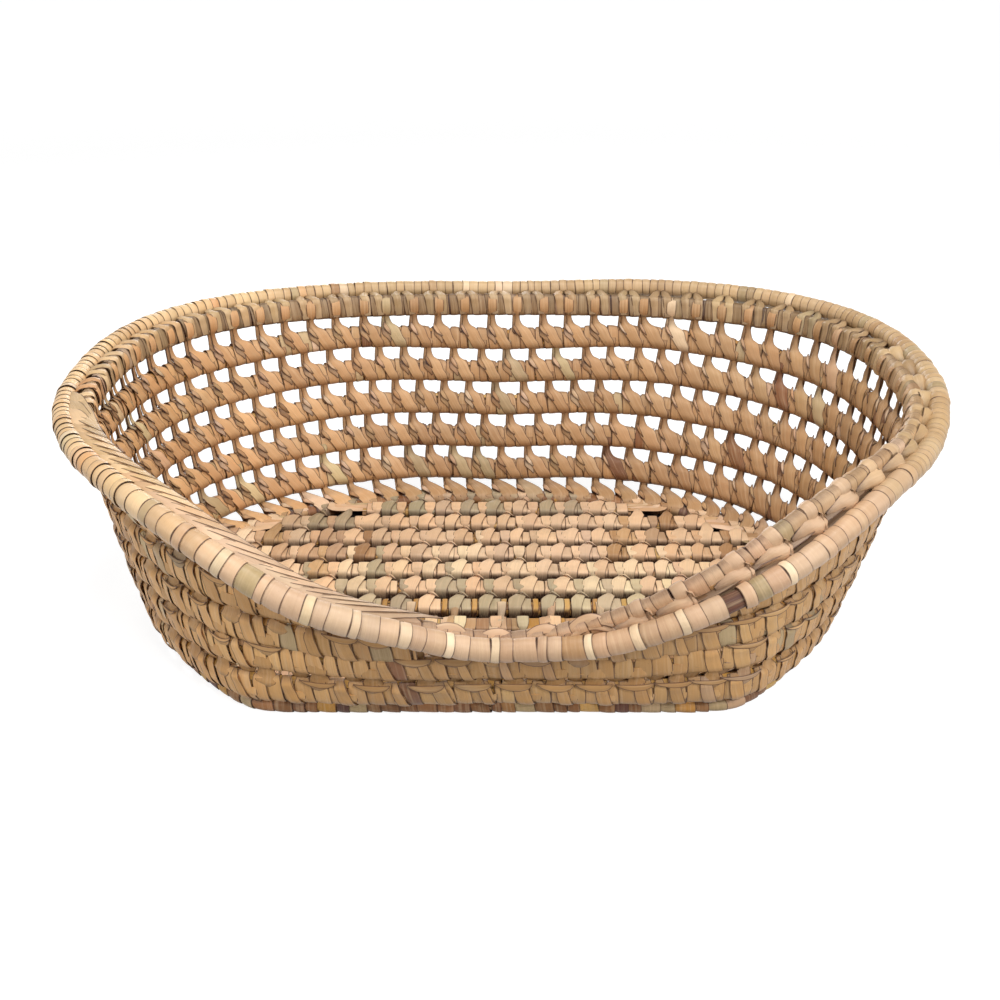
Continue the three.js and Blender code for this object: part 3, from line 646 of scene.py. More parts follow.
def leaf_material(name, roughness, fibre, coat, rim_and_shade_width):
    """Dried palm leaf: fibres along each strip, mottling, dark rims that are partly its own edges and partly
    painted shade, and painted shade in creases and tucks.
    """
    material, add = shading(name)

    def attribute(which, output):
        return add("Attribute", {}, attribute_name=which).outputs[output]

    def noise(vector, scale, detail):
        return add("TexNoise", {"Vector": vector, "Scale": scale, "Detail": detail}).outputs["Fac"]

    def along_strip(scale, detail):
        """Noise in a strip's own frame: across it, along it, and a seed."""
        return noise(add("Mapping", {"Vector": strip, "Scale": scale}).outputs["Vector"], 1.0, detail)

    def ramp(value, low, high, start, end):
        inputs = {"Value": value, "From Min": low, "From Max": high, "To Min": start, "To Max": end}
        return add("MapRange", inputs, interpolation_type="SMOOTHSTEP").outputs["Result"]

    def maths(kind, first, second):
        return add("Math", {0: first, 1: second}, operation=kind).outputs["Value"]

    def mix(factor, first, second):
        """The first colour, going over to a fixed second one with the factor."""
        return add("Mix", {0: factor, 6: first, 7: second + (1.0,)}, data_type="RGBA").outputs[2]

    strip = attribute("leaf_strip", "Vector")
    marks = add("SeparateXYZ", {"Vector": attribute("leaf_mark", "Vector")}).outputs
    fine = along_strip((3.2, 0.05, 1.0), 4.0)
    broad = along_strip((0.7, 0.03, 1.0), 2.0)
    speck = along_strip((1.6, 0.5, 1.0), 2.0)
    blotch = noise(add("TexCoord", {}).outputs["Object"], 55.0, 4.0)

    color = attribute("leaf_tone", "Color")
    for mark, low, high, share, stain in (
            (fine, 0.35, 0.75, fibre, (0.34, 0.18, 0.08)),
            (broad, 0.45, 0.75, 0.28, (0.78, 0.56, 0.34)),
            (blotch, 0.48, 0.75, 0.25, (0.30, 0.19, 0.10)),
            (speck, 0.72, 0.80, 0.4, (0.20, 0.10, 0.05))):
        color = mix(ramp(mark, low, high, 0.0, share), color, stain)
    # Dark rims along each strip's edges: partly the leaf's own dark edges, partly painted shade where one
    # strip overlaps the next.
    ragged = maths("ADD", marks["X"], maths("MULTIPLY", maths("SUBTRACT", fine, 0.5), 0.3))
    color = mix(ramp(ragged, 0.1, rim_and_shade_width, 0.92, 0.0), color, (0.08, 0.03, 0.015))
    # Painted shade: the second leaf mark darkens a strip in creases, where it tucks under, in gaps and low on
    # floor rows' fronts, a little varied by the specks.
    painted_shade = maths("MULTIPLY", marks["Y"], ramp(speck, 0.36, 0.6, 0.8, 1.0))
    ribs = maths("ADD", fine, maths("MULTIPLY", broad, 0.8))
    shader = add("BsdfPrincipled", {
        "Base Color": mix(painted_shade, color, (0.055, 0.022, 0.012)),
        "Roughness": ramp(fine, 0.2, 0.8, roughness - 0.08, roughness + 0.12),
        "Specular IOR Level": 0.38,
        "Coat Weight": coat,
        "Coat Roughness": 0.4,
        "Normal": add("Bump", {"Height": ribs, "Strength": 0.5, "Distance": 0.0004}).outputs["Normal"],
    })
    add("OutputMaterial", {"Surface": shader.outputs["BSDF"]})
    return material


FLOOR_LEAF = leaf_material("floor_leaf", 0.52, 0.16, 0.04, 0.5)
WALL_LEAF = leaf_material("wall_leaf", 0.50, 0.24, 0.05, 0.6)
RIM_LEAF = leaf_material("rim_leaf", 0.42, 0.10, 0.10, 0.6)
CORE_LEAF = leaf_material("core_leaf", 0.60, 0.45, 0.0, 0.4)


# What every row has.
def bind(leaves, row, start, end, pitch, tone_at, narrow, lift, begin, turn_shade):
    """Strips side by side round a stretch of a row, wider at the front of a wall."""
    s = start
    while s < end:
        broad = 1 + 0.4 * (1 - smooth(22, 60, from_front(row.angle_at(s)))) * (narrow > 0)
        width = pitch * uniform(0.75, 1.3) * broad
        width = min(width, max(end - s, 2.0))
        if uniform() >= MISSING_STRIPS:
            overlap = width * uniform(0.98, 1.1)
            leaves.wrap(row, s + width / 2, overlap, -width * 0.5, tone_at(s), begin,
                        lift + uniform(0, 0.25), uniform(0.12, 0.4), uniform(0.1, 0.35),
                        narrow * uniform(0.3, 1.4), turn_shade=turn_shade)
        s += width


def core(row, node, tones, shrink=0.75):
    """The bundle inside a row: leaf ribs that lie side by side."""
    leaves = Leaves()
    count = max(8, int(row.length / RIB_STEP))
    s = np.linspace(0.0, row.length * (0.9995 if row.closed else 1), count)
    for rib in range(CORE_RIBS):
        turn = row.turn_at((rib + 0.5) / CORE_RIBS + 0.02 * np.sin(s / 37 + rib * 2.1))
        points = row.skin(s, turn, -shrink + 0 * s)
        inner = row.skin(s, turn, -shrink - 1.0 + 0 * s)
        width = row.girth / CORE_RIBS * 1.25
        leaves.ribbon(points, unit(points - inner), width, pick(*tones), 0.8, count)
    leaves.piece(node, CORE_LEAF)


# Floor. Its rows count from 0. From here on, h is half a row's height or width, and w half its
# thickness.
LAST_SEEN_ROW = 7
GREY_SHARES = {0: 0.4, 5: 0.15, 6: 0.72}
GOLD_SHARES = {3: 0.75, 6: 0.75}


def edge_inner(x, at_back):
    """The y of the edge row's inner side at x, at the back or at the front."""
    inner = EDGE.at(EDGE.run, HALF_WIDTH, 0)
    side = (inner[:, 1] > MIDDLE[1]) == at_back
    order = np.argsort(inner[side, 0])
    return float(np.interp(x, inner[side, 0][order], inner[side, 1][order]))


def reach_behind(row, behind, x):
    """From a floor row's middle to the near side of what lies behind it at x."""
    y = row.table[0, 1]
    if behind is not None and behind.table[0, 0] + 2 < x < behind.table[-1, 0] - 2:
        return behind.table[0, 1] - FLOOR_HALF - y
    return edge_inner(x, True) + 0.3 - y


def floor_wrap(leaves, row, s, width, advance, tone, lift, tilt, crown=0.2):
    """A strip round a floor row, joined underneath, with painted shade low on the row's front."""
    leaves.wrap(row, s, width, advance, tone, 0.75, lift, tilt, crown, rings=26, front_shade=True)


def hood(leaves, row, reach, x, vary):
    """A strip that leaves the row behind, crosses the gap narrow and spreads over the row's block."""
    h, w = FLOOR_HALF, HALF_THICK
    y, z = row.table[0, 1:3]
    gap = reach - h
    lean = random.normal(0.0, 0.5)
    wide = uniform(0.9, 1.15)
    far = reach + 2 * h
    wing = uniform(0.82, 1.08)
    # Left and right edge, back and up from the row's middle, facing, curl, and painted shade where the strip
    # dips into the gap and tucks under.
    steps = [
        (-2.3, 2.3, far + 0.3, -w * 0.6, (0, 1, -0.3), 0.1, 0),
        (-2.6, 2.6, far + 0.7, w * 0.3, (0, 1, 0.2), 0.1, 0),
        (-3.1, 3.1, far - 0.7, w + 0.8, (0, 0.4, 1), 0.1, 0),
        (-3.3, 3.3, reach + h, w + 0.95, (0, 0, 1), 0.1, 0),
        (-2.7, 2.7, reach + 0.9, w + 0.8, (0, -0.4, 1), 0.3, 0.1),
        (-1.9, 1.9, reach - 0.5, w * 0.65, (0, -1, 0.8), 0.8, 0.6),
        (-1.8, 1.9, h + gap * 0.75, w * 0.75, (0, -0.3, 1), 1.0, 0.6),
        (-2.9, 2.2, h + gap * 0.5, w * 1.15, (-0.2, 0.3, 1), 0.8, 0.25),
        (-4.5 * wing, 2.6, h + gap * 0.2, w + 1.2, (-0.2, 0.5, 1), 0.45, 0),
        (-6.0 * wing, 2.8, h - 0.4, w + 1.7, (-0.1, 0.3, 1), 0.3, 0),
        (-7.1 * wing, 2.3, h - 2.8, w + 1.75, (-0.1, 0.1, 1), 0.2, 0),
        (-7.5 * wing, 1.4, h - 6.0, w + 1.35, (0, 0, 1), 0.15, 0),
        (-7.5 * wing, 0.5, -h + 3.0, w + 1.15, (0, 0, 1), 0.15, 0),
        (-7.4 * wing, 0.0, -h + 0.4, w + 0.5, (0, -0.6, 0.8), 0.15, 0.15),
        (-7.2 * wing, -0.3, -h - 0.8, w * 0.2, (0, -1, 0), 0.15, 0.7),
        (-7.0 * wing, -0.4, -h - 0.7, -w * 0.8, (0, -1, -0.2), 0.15, 1.0),
    ]
    lefts, rights = [], []
    for k, (left, right, back, up, *_) in enumerate(steps):
        slide = lean if k < 6 else lean * max(0, 11 - k) / 6
        slant = 8 < k < 11
        lefts.append((x + left * wide + slide, y + back - 0.9 * slant, z + up))
        rights.append((x + right * wide + slide, y + back + 0.5 * slant, z + up))
    faces, curls, crease_shades = zip(*(step[4:] for step in steps))
    leaves.sheet(lefts, rights, faces, vary(), curls, 42, crease_shades)
    if uniform() < 0.5:
        fold = [((x - 3.2, y + h + gap * 0.35, z + w * 1.1), (0, 0.2, 1)),
                ((x, y + h + gap * 0.3, z + w + 2.4), (0, 0.3, 1)),
                ((x + 4.4, y + h - 1.6, z + w + 1.4), (0.2, 0.1, 1))]
        leaves.strand(fold, [1.0, 3.0, 1.0], vary(), 0.6, 10, [0.5, 0, 0.5])


def floor_block(leaves, row, behind, x, tone, gold):
    """One block of a floor row: strips round it, and a hood that hangs from the row behind."""
    first, last = row.table[0, 0], row.table[-1, 0]

    def vary():
        return dulled(tone, 1 + random.normal(0, 0.07))

    parts = random.choice([2, 2, 2, 3])
    edges = np.linspace(-6.3, 6.3, parts + 1) + random.normal(0, 0.35, parts + 1)
    for left, right in zip(edges[:-1], edges[1:]):
        s = x + (left + right) / 2 - first
        if 1.2 < s < row.length - 1.2:
            floor_wrap(leaves, row, s, (right - left) * 1.05, random.normal(-0.3, 0.3), vary(),
                       uniform(0.05, 0.2), uniform(-0.2, 0.2))
    if first + 8 < x < last - 10:
        slim = pick((GOLD, 1)) if gold else vary()
        floor_wrap(leaves, row, x + 7.9 - first, 3.4, 0.2, slim, 0.0, 0.1)
    reach = reach_behind(row, behind, x)
    if first + 3 < x < last - 3 and 3.0 < reach - FLOOR_HALF < 30:
        hood(leaves, row, reach, x, vary)


def sparse_row(leaves, row, behind):
    """The last floor row seen past the rim: golden panels, with pairs of pale strips wide apart."""
    h, w = FLOOR_HALF, HALF_THICK
    first, y, z = row.table[0, :3]
    s = 0.0
    while s < row.length - 3:
        width = uniform(6.0, 11.0)
        floor_wrap(leaves, row, s + width / 2, width + 0.3, 0.0, pick(*PANELS),
                   uniform(-0.2, 0.0), 0.1, 0.05)
        s += width
    s = 7.0
    while s < row.length - 12:
        for part in range(2):
            floor_wrap(leaves, row, s + part * 5.2, uniform(4.6, 5.8), random.normal(-1.5, 0.5),
                       pick(*PALE), 0.3, uniform(0.1, 0.4), 0.3)
        x = first + s + 3.0
        reach = reach_behind(row, behind, x)
        if reach - h > 3:
            up = [((x - 1.0, y - 2.0, z + w + 0.9), UP), ((x, y + h, z + w + 0.7), (0, 0.5, 1)),
                  ((x + 0.5, y + (h + reach) / 2, z + w * 0.4), UP),
                  ((x + 1, y + reach + 0.4, z + w + 0.6), (0, -0.5, 1)),
                  ((x + 1, y + reach + h, z + w + 1.0), UP)]
            leaves.strand(up, [6.5, 5.6, 4.6, 5.2, 5.6], pick(*PALE), [0.3, 0.6, 1.1, 0.5, 0.3], 16,
                          [0, 0.2, 0.6, 0.3, 0])
        s += uniform(24.5, 28.0)


def front_tie(leaves, row, x, tone):
    """A strip from the last floor row over the gap to the edge row at the front."""
    y, z = row.table[0, 1:3]
    h, over = FLOOR_HALF, z + HALF_THICK + 0.9
    near = edge_inner(x, False)
    places = [((x - 2.0, y - 1.0, over), UP), ((x - 1.2, y - h + 0.6, over), UP),
              ((x, (y - h + near) / 2, z + 0.4), UP), ((x + 1.2, near - 0.8, over), UP),
              ((x + 2.0, near - HALF_WIDTH, over + 0.1), UP)]
    leaves.strand(places, [7.0, 6.4, 4.4, 6.4, 7.4], tone, [0.2, 0.4, 1.0, 0.4, 0.2], 18,
                  [0, 0.1, 0.4, 0.1, 0.3])


def row_end(leaves, row, sign, back):
    """Broad strips that fan from a floor row's end over the edge row."""
    w = HALF_THICK
    end = row.table[-1 if sign > 0 else 0, :3]
    for sweep in ((-0.7, -0.2, 0.3, 0.8, 1.2) if back else (-0.5, 0.1, 0.7)):
        tone = pick((BOARD, 4), (OLIVE, 0.7), (INNER, 1))
        start = end + np.array([-sign * uniform(3, 7), sweep * 4.0, w - 0.6])
        s = EDGE.nearest(end + np.array([sign * 14.0, sweep * 13 * (1 + back), 0]))
        inner = EDGE.at(s, HALF_WIDTH, w * 0.6)
        outer = EDGE.at(s, -HALF_WIDTH - 0.3, w * 0.4)
        places = [(start, UP), ((start + inner) / 2 + UP * 0.8, UP), (inner + UP * 1.4, UP),
                  (EDGE.at(s, 0, w + 0.9), UP), (outer, unit(UP - EDGE.axes(s)[2]))]
        leaves.strand(places, [5.0, 8.4, 7.8, 7.2, 6.0], tone, [0.25, 0.3, 0.35, 0.25, 0.3], 18,
                      [0.3, 0, 0.1, 0, 0])


def block_row(leaves, row, behind, index):
    """A floor row's blocks, each half a pitch aside of those in the next row, and its two ends."""
    tint = Tint(0.12)
    first, last = row.table[0, 0], row.table[-1, 0]
    start = (first + last) / 2 + (STITCH_PITCH / 2 if index % 2 else 0)
    number = int(row.length / STITCH_PITCH / 2) + 2
    for k in range(-number, number):
        x = start + k * STITCH_PITCH + random.normal(0, 0.6)
        if first - 6 < x < last + 6:
            grey = uniform() < GREY_SHARES.get(index, 0.04)
            tone = pick((GREY, 1)) if grey else tint(((BOARD, 6), (PINK, 1)), ((PINK, 1), (INNER, 1)))
            tone = dulled(tone, 1.06 + 0.28 * smooth(2.5, 6, index))
            floor_block(leaves, row, behind, x, tone, uniform() < GOLD_SHARES.get(index, 0.3))
            if index == FLOOR_ROWS - 1:
                front_tie(leaves, row, x, tone)
    for sign in (-1, 1):
        row_end(leaves, row, sign, 0.8 if index < 3 else 0.0)


def floor_row(index):
    leaves = Leaves()
    row = FLOORS[index]
    behind = FLOORS[index - 1] if index > 0 else None
    if index == LAST_SEEN_ROW:
        sparse_row(leaves, row, behind)
    else:
        block_row(leaves, row, behind, index)
    leaves.piece("floor_row_%02d_wrap" % (index + 1), FLOOR_LEAF)


def floor_edge():
    leaves = Leaves()
    tint = Tint(0.4)
    bind(leaves, EDGE, 0.0, EDGE.length, EDGE_STRIP, lambda s: tint(((EARTH, 1),), EDGE_ODDS),
         0.0, 0.0, -0.25, 0.0)
    leaves.piece("floor_edge_wrap", FLOOR_LEAF)


# Walls. A stitch leaves a row's lower edge, and going down it gains on the row by SLIP, towards
# falling s, so the stitches of one row start where the strips of the row above arrive.
arrivals = {id(row): [] for row in [EDGE] + WALLS}
arrivals[id(BAND)] = list(np.arange(0, BAND.length - 5, STITCH_PITCH))


def row_under(upper, angle):
    """The next row below at an angle, or none where a row's end is too close."""
    rows = [EDGE] + WALLS
    top = len(rows) - 1 if upper is BAND else [row is upper for row in rows].index(True) - 1
    for row in rows[top::-1]:
        if row.closed:
            return row
        turn = np.mod(angle - row.angles[0], 2 * math.pi)
        span = row.angles[-1] - row.angles[0]
        if 0.05 < turn < span - 0.05:
            return row
        if turn < span:
            return None


def even_out(places, length, closed, low, high):
    """Places along a row, thinned or filled towards the stitch pitch and evened out."""
    def neighbours(p):
        """The place before and the place after each one."""
        before = p[-1] - length if closed else low - 9
        after = p[0] + length if closed else high + 9
        return np.concatenate([[before], p[:-1]]), np.concatenate([p[1:], [after]])

    places = sorted(np.mod(places, length) if closed else [p for p in places if low < p < high])
    wanted = max(3, int(round((length if closed else high - low) / STITCH_PITCH)))
    while len(places) > wanted:
        p = np.array(places)
        before, after = neighbours(p)
        places.pop(int(np.argmin((p - before) + (after - p))))
    while len(places) < wanted:
        p = np.array(places) if places else np.array([(low + high) / 2])
        ends = np.concatenate([p, [p[0] + length]]) if closed else np.concatenate([[low], p, [high]])
        i = int(np.argmax(np.diff(ends)))
        places.append((ends[i] + ends[i + 1]) / 2 % length)
        places.sort()
    p = np.array(places)
    for _ in range(12):
        before, after = neighbours(p)
        p = p + 0.25 * ((before + after) / 2 - p)
    return p + random.normal(0, 0.7, len(p))


class Meeting:
    """Where a stitch comes down from an upper wall row and goes round a lower one."""

    def __init__(self, upper, lower, s_up, s_low):
        self.upper, self.lower, self.s_up, self.s_low = upper, lower, s_up, s_low
        self.along, self.up, self.out = lower.axes(s_low)[1:]
        angle = lower.angle_at(s_low)
        self.front = from_front(angle)
        self.right = far_right(angle)
        self.left = float(smooth(0.3, 0.9, -math.cos(angle)))
        self.calm = math.cos(angle) > 0.45
        self.h, self.hu = lower.half_a, upper.half_a
        self.tall, self.tall_up = lower.half(s_low), upper.half(s_up)

    def high(self, back, a, b):
        """A place and normal on the upper row."""
        return self.upper.spot(self.s_up - back, a, b)

    def low(self, back, a, b):
        """A place and normal on the lower row, where the stitch runs on further at the far right."""
        further = 0.45 * self.right * min(max(back - 1.0, 0), 6.0)
        return self.lower.spot(self.s_low - back - further, a, b)


def inner_sheet(leaves, at, wide, shift, tone):
    """The stitch's broad strip: down the gap, flared over the lower row's inner face, up its outer one.

    It gives the place where the strip leaves the upper row.
    """
    h, w, hu, tall = at.h, HALF_THICK, at.hu, at.tall
    high, low, up, out = at.high, at.low, at.up, at.out
    lefts, rights, faces = [], [], []

    def edges(make, left, right, face=None):
        a, b = make(*left), make(*right)
        lefts.append(a[0])
        rights.append(b[0])
        faces.append(unit(a[1] + b[1]) if face is None else face)

    def straight(make, left, right, a, b):
        edges(make, (left, a, b), (right, a, b))

    if at.upper is BAND:
        straight(high, -2.9, 2.5, hu + 0.2, -0.8)
        straight(high, -3.2, 2.8, hu - 2.0, -w - 0.8)
        straight(high, -3.0, 2.7, -hu + 2.4, -w - 0.75)
    else:
        straight(high, -3.6, 2.6, -0.5, -w - 0.55)
        straight(high, -3.1, 2.3, -hu + 2.0, -w - 0.5)
    straight(high, -2.1, 1.8, -hu - 0.3, -w * 0.6)
    k = len(lefts) - 1
    lefts.append((lefts[k] + low(-1.9 + shift, h + 2.0, -w * 0.5)[0]) / 2)
    rights.append((rights[k] + low(2.2 + shift, h + 4.2, -w * 0.5)[0]) / 2)
    faces.append(unit(-out + 0.15 * up - 0.3 * at.along))
    edges(low, (-1.9 + shift, h + 1.8, -w * 0.75), (3.5 * wide, h + 2.5, -w * 0.5), unit(0.4 * up - out))
    edges(low, (-1.5 + shift, h - 0.8, -w - 0.9), (5.9 * wide, h + 1.0, -w * 0.6), unit(0.5 * up - out))
    edges(low, (0.3, h - 4.8, -w - 1.25), (8.0 * wide, h - 1.4, -w - 0.7), unit(0.25 * up - out))
    edges(low, (2.6, -0.8, -w - 1.35), (10.3 * wide, h - 6.8, -w - 1.2), -out)
    edges(low, (4.6, -h + 2.6, -w - 1.15), (12.2 * wide, -2.4, -w - 1.25), -out)
    edges(low, (6.0, -h + 0.1, -w * 0.75), (13.0 * wide, -h + 1.4, -w - 0.9))
    edges(low, (6.9, -h - 0.6, -w * 0.1), (13.5 * wide, -h - 0.5, -w * 0.35))
    straight(low, 8.0, 14.8 * wide, -tall - 0.2, w * 0.65)
    straight(low, 9.2, 16.2 * wide, -tall + 3.0, w + 0.9)
    straight(low, 10.9, 17.9 * wide, 0.3, w + 1.05)
    straight(low, 12.6, 18.6 * wide, tall - 2.4, w + 0.85)
    straight(low, 13.8, 18.2 * wide, tall + 0.1, w * 0.4)
    curl = np.full(len(lefts), 0.22)
    curl[k:k + 4] = (0.7, 1.1, 0.8, 0.4)
    # Painted shade along the sheet: where it comes down into the gap, where it turns under the lower row, and
    # at both ends.
    crease_shade = np.zeros(len(lefts))
    crease_shade[k:k + 3] = (0.35, 0.2, 0.15)
    crease_shade[k + 6:k + 10] = (0.1, 0.4, 0.6, 0.4)
    crease_shade[0], crease_shade[-1] = 0.4, 0.6
    leaves.sheet(lefts, rights, faces, tone, curl, 42, crease_shade)
    return (lefts[k] + rights[k]) / 2


def inner_folds(leaves, at, leave, shift, tone, spare):
    """The shank behind the broad strip, painted darker as its shade, the knot at its shoulder, a dark strip
    painted as the shade in a hole, and a tucked strip.
    """
    h, w, hu = at.h, HALF_THICK, at.hu
    high, low = at.high, at.low
    land = low(-1.2, h + 1.5, -w * 0.3)[0]
    # Painted shade: the shank behind the broad strip is painted darker by a random share.
    dark = dulled(tone, uniform(0.75, 1.0))
    dive = 2.2 * at.calm
    behind = [high(-2.2, -hu + 2.5, -w - 0.3), high(-2.0, -hu - 0.2, -w * 0.3),
              ((leave + land) / 2 + at.out * 0.6 + at.along * 1.8, -at.out),
              (low(-2.4, h + 1.0, -w * 0.3 + 0.3 * dive)[0], unit(0.8 * at.up - at.out)),
              low(-2.2, h - 1.4, -w - 0.5 + dive), low(-1.6, h - 3.6, -w - 0.3 + dive)]
    leaves.strand(behind, [3.4, 3.0, 2.8, 3.4, 3.4, 2.0], dark, [0.3, 0.8, 1.0, 0.8, 0.5, 0.3], 18,
                  [0, 0.2, 0.35, 0.5, 0.6, 1.0])
    knot = [low(-2.6 + shift, h + 2.6, -w - 0.2), low(-1.6 + shift, h + 0.2, -w - 1.2),
            low(0.2 + shift, h - 2.6, -w - 1.7), low(2.4, h - 5.6, -w - 1.5)]
    leaves.strand(knot, np.array([1.2, 3.4, 3.0, 0.8]) * (0.7 if at.calm else 1), spare,
                  [0.9, 0.8, 0.6, 0.3], 13, [0.8, 0.0, 0.0, 0.8], random.normal(0, 0.3))
    if not at.calm and uniform() < 0.7:
        hole = [low(-2.1 + shift, h + 0.2, -w - 0.9), low(-1.3 + shift, h - 1.9, -w - 1.4),
                low(0.3 + shift, h - 4.0, -w - 1.6)]
        # A dark strip painted as the shade in the hole beside the knot.
        leaves.strand(hole, [0.6, uniform(1.2, 2.0), 0.5], HOLE_SHADE, 0.2, 8, 1.0)
    if uniform() < (0.1 if at.calm else 0.75):
        tucked = [low(-3.2, h - 1.4, -w - 0.5), low(-1.6, h - 4.0, -w - 1.0), low(0.6, 0.6, -w - 1.0),
                  low(2.4, -3.4, -w - 0.75)]
        leaves.strand(tucked, [1.6, 4.4, 4.0, 0.8], dulled(spare, 0.9), [0.6, 0.4, 0.3, 0.2], 12,
                      [0.9, 0.2, 0.0, 0.5])


def outer_strips(leaves, at, tone):
    """The strip down the gap on the outside, and at the front one that fills the space beside it."""
    w, tall, tall_up = HALF_THICK, at.tall, at.tall_up
    high, low, out = at.high, at.low, at.out
    dense = 1 - smooth(70, 92, at.front)
    edge = high(-0.8, -tall_up - 0.1, w * 0.5)
    land = (low(-0.6, tall + 0.8, w * 0.6)[0], unit(0.5 * at.up + out))
    places = [high(-0.6, 1.0, w + 0.45), high(-0.7, -tall_up + 2.8, w + 0.45), edge,
              ((edge[0] + land[0]) / 2 + out * 0.3, out), land, low(-0.4, tall - 3.0, w + 0.7),
              low(0, tall - 6.0, w + 0.3)]
    widths = np.array([5.4, 5.2, 4.8, 4.8, 5.4, 5.8, 3.0]) * (1 + (0.9 - 0.45 * at.right) * dense)
    # On the left the outer strip is up to 14 % darker, which takes back part of the wall's painted light
    # there.
    leaves.strand(places, widths, tone * (0.95 - 0.14 * at.left), [0.25, 0.3, 0.6, 0.8, 0.5, 0.3, 0.3],
                  18, [0, 0, 0.1, 0.2, 0.3, 0.1, 0.4])
    if uniform() < dense:
        top, foot = high(8.4, -tall_up + 6.0, w + 0.4)[0], low(8.8, tall - 0.6, w * 0.2)[0]
        filler = [(top * (1 - share) + foot * share - out * 0.5 * math.sin(math.pi * share), out)
                  for share in (0.0, 0.35, 0.7, 1.0)]
        leaves.strand(filler, [7.0, 9.0, 9.0, 7.0], dulled(tone, uniform(0.82, 0.98)),
                      [0.2, 0.3, 0.3, 0.3], 12, [0.0, 0.1, 0.2, 0.4])


def sling(leaves, at, tone):
    """A strip that hangs across the lower row's outer face from one stitch to the next."""
    sag = uniform(0.7, 1.2)
    size = 1.0 if at.front < 45 else 0.75
    slim = size * (1 - 0.4 * float(smooth(12, 40, at.front)))
    face = unit(at.out + 0.35 * at.up)
    hung = [(at.low(back * size, at.tall - drop * sag, HALF_THICK + proud)[0], face)
            for back, drop, proud in ((-8.8, -0.4, 0.2), (-7.4, 0.6, 0.6), (-4.8, 1.5, 1.0),
                                      (-1.0, 1.8, 1.1), (3.0, 1.3, 1.0), (6.4, 0.4, 0.7), (9.0, -0.6, 0.2))]
    leaves.strand(hung, np.array([1.0, 3.0, 4.2, 4.6, 4.0, 2.6, 0.8]) * slim,
                  tone * uniform(0.68, 0.9), 0.4, 17, [0.6, 0.15, 0, 0, 0, 0.15, 0.6])


def wall_stitch(leaves, at, tone, spare):
    """One stitch between two wall rows."""
    wide = uniform(0.88, 1.12)
    shift = random.normal(0, 0.4)
    leave = inner_sheet(leaves, at, wide, shift, tone)
    inner_folds(leaves, at, leave, shift, tone, spare)
    outer_strips(leaves, at, tone)
    if uniform() < (0.85 if at.front < 40 else 0.35 * (1 - smooth(60, 95, at.front)) + 0.06):
        sling(leaves, at, tone)


def edge_stitch(leaves, row, s, s_low, tone, spare):
    """A stitch from the lowest wall row across the floor's edge row, which lies flat, and round it."""
    h, w, hu = HALF_WIDTH, HALF_THICK, row.half_a
    inward = EDGE.axes(s_low)[2]
    wide = uniform(0.92, 1.08)
    rise = float(smooth(0.2, 0.8, math.sin(EDGE.angle_at(s_low))))
    leaning, lying = unit(inward + 0.3 * UP), unit(0.4 * inward + UP)

    def low(back, a, b):
        return EDGE.at(s_low - back, a, b)

    def high(back, a, b):
        return row.at(s - back, a, b)

    steps = [
        (high, (-2.8, -hu + 2.4, -w - 0.5), (2.2, -hu + 2.4, -w - 0.5), inward),
        (high, (-2.1, -hu - 0.2, -w * 0.6), (1.8, -hu - 0.2, -w * 0.6), inward),
        (low, (-1.9, -h + 0.8, w + 3.2 + 2.2 * rise), (2.6 + rise, -h + 0.2, w + 5.2 + 2 * rise), leaning),
        (low, (-1.6, -h + 2.2, w + 1.9 + 2.2 * rise),
         (5.6 + 2.4 * rise, -h + 0.6, w + 3.4 + 2 * rise), unit(inward + 0.7 * UP)),
        (low, (-0.4, -h + 4.6, w + 1.5 + 1.2 * rise),
         (8.6 + 3 * rise, -h + 2.0, w + 2.4 + 1.6 * rise), unit(0.7 * inward + UP)),
        (low, (2.2, -0.2 * h + 2.6, w + 1.4 + 0.5 * rise),
         (10.8 + 3 * rise, -h + 5.2, w + 1.9 + rise), lying),
        (low, (4.2, h - 1.4, w + 1.0), (12.4 + 2 * rise, h - 4.0, w + 1.3), lying),
        (low, (5.4, h + 0.4, w * 0.4), (13.0, h + 0.2, w * 0.7), leaning),
        (low, (5.8, h + 0.3, -w * 0.8), (13.4, h + 0.3, -w * 0.8), inward),
    ]
    lefts = [make(*left) for make, left, _, _ in steps]
    rights = [make(right[0] * (wide if make is low else 1), *right[1:]) for make, _, right, _ in steps]
    leaves.sheet(lefts, rights, [step[3] for step in steps], tone,
                 [0.3, 0.8, 0.9, 0.6, 0.4, 0.3, 0.3, 0.4, 0.3], 30, [0.2, 0.2, 0.3, 0.2, 0, 0, 0, 0.3, 0.8])
    fold = [(low(-2.6, -h + 1.0, w + 2.6 + 2 * rise), unit(inward + 0.5 * UP)),
            (low(-1.2, -h + 3.0, w + 2.5 + 1.6 * rise), unit(inward + UP)),
            (low(1.0, -1.0, w + 2.4 + 0.8 * rise), UP), (low(3.0, 2.0, w + 2.0), UP)]
    leaves.strand(fold, [1.6, 3.8, 3.4, 1.0], spare, [0.8, 0.7, 0.5, 0.3], 12, [0.8, 0.0, 0, 0.8])
    under = [(low(-6.5, -h + 1.5, w + 0.5), UP), (low(-5.0, 0.0, w + 0.8), UP),
             (low(-4.0, h - 1.5, w + 0.6), UP), (low(-3.6, h + 0.4, 0.0), inward)]
    leaves.strand(under, [5.0, 5.6, 5.6, 5.0], dulled(tone, 0.92), 0.3, 12, [0.5, 0, 0, 0.4])
    outer = [row.spot(s + 1.0, 1.0, w + 0.5), row.spot(s + 0.8, -hu + 3.0, w + 0.5),
             row.spot(s + 0.5, -hu - 0.1, w * 0.5), (low(0.4, -h + 0.2, w + 1.2), -inward),
             (low(0.6, -h + 0.3, w - 0.8), -inward)]
    leaves.strand(outer, [6.4, 6.2, 5.4, 6.0, 5.0], tone, [0.25, 0.3, 0.6, 0.4, 0.3], 18,
                  [0, 0, 0.2, 0.5, 1.0])


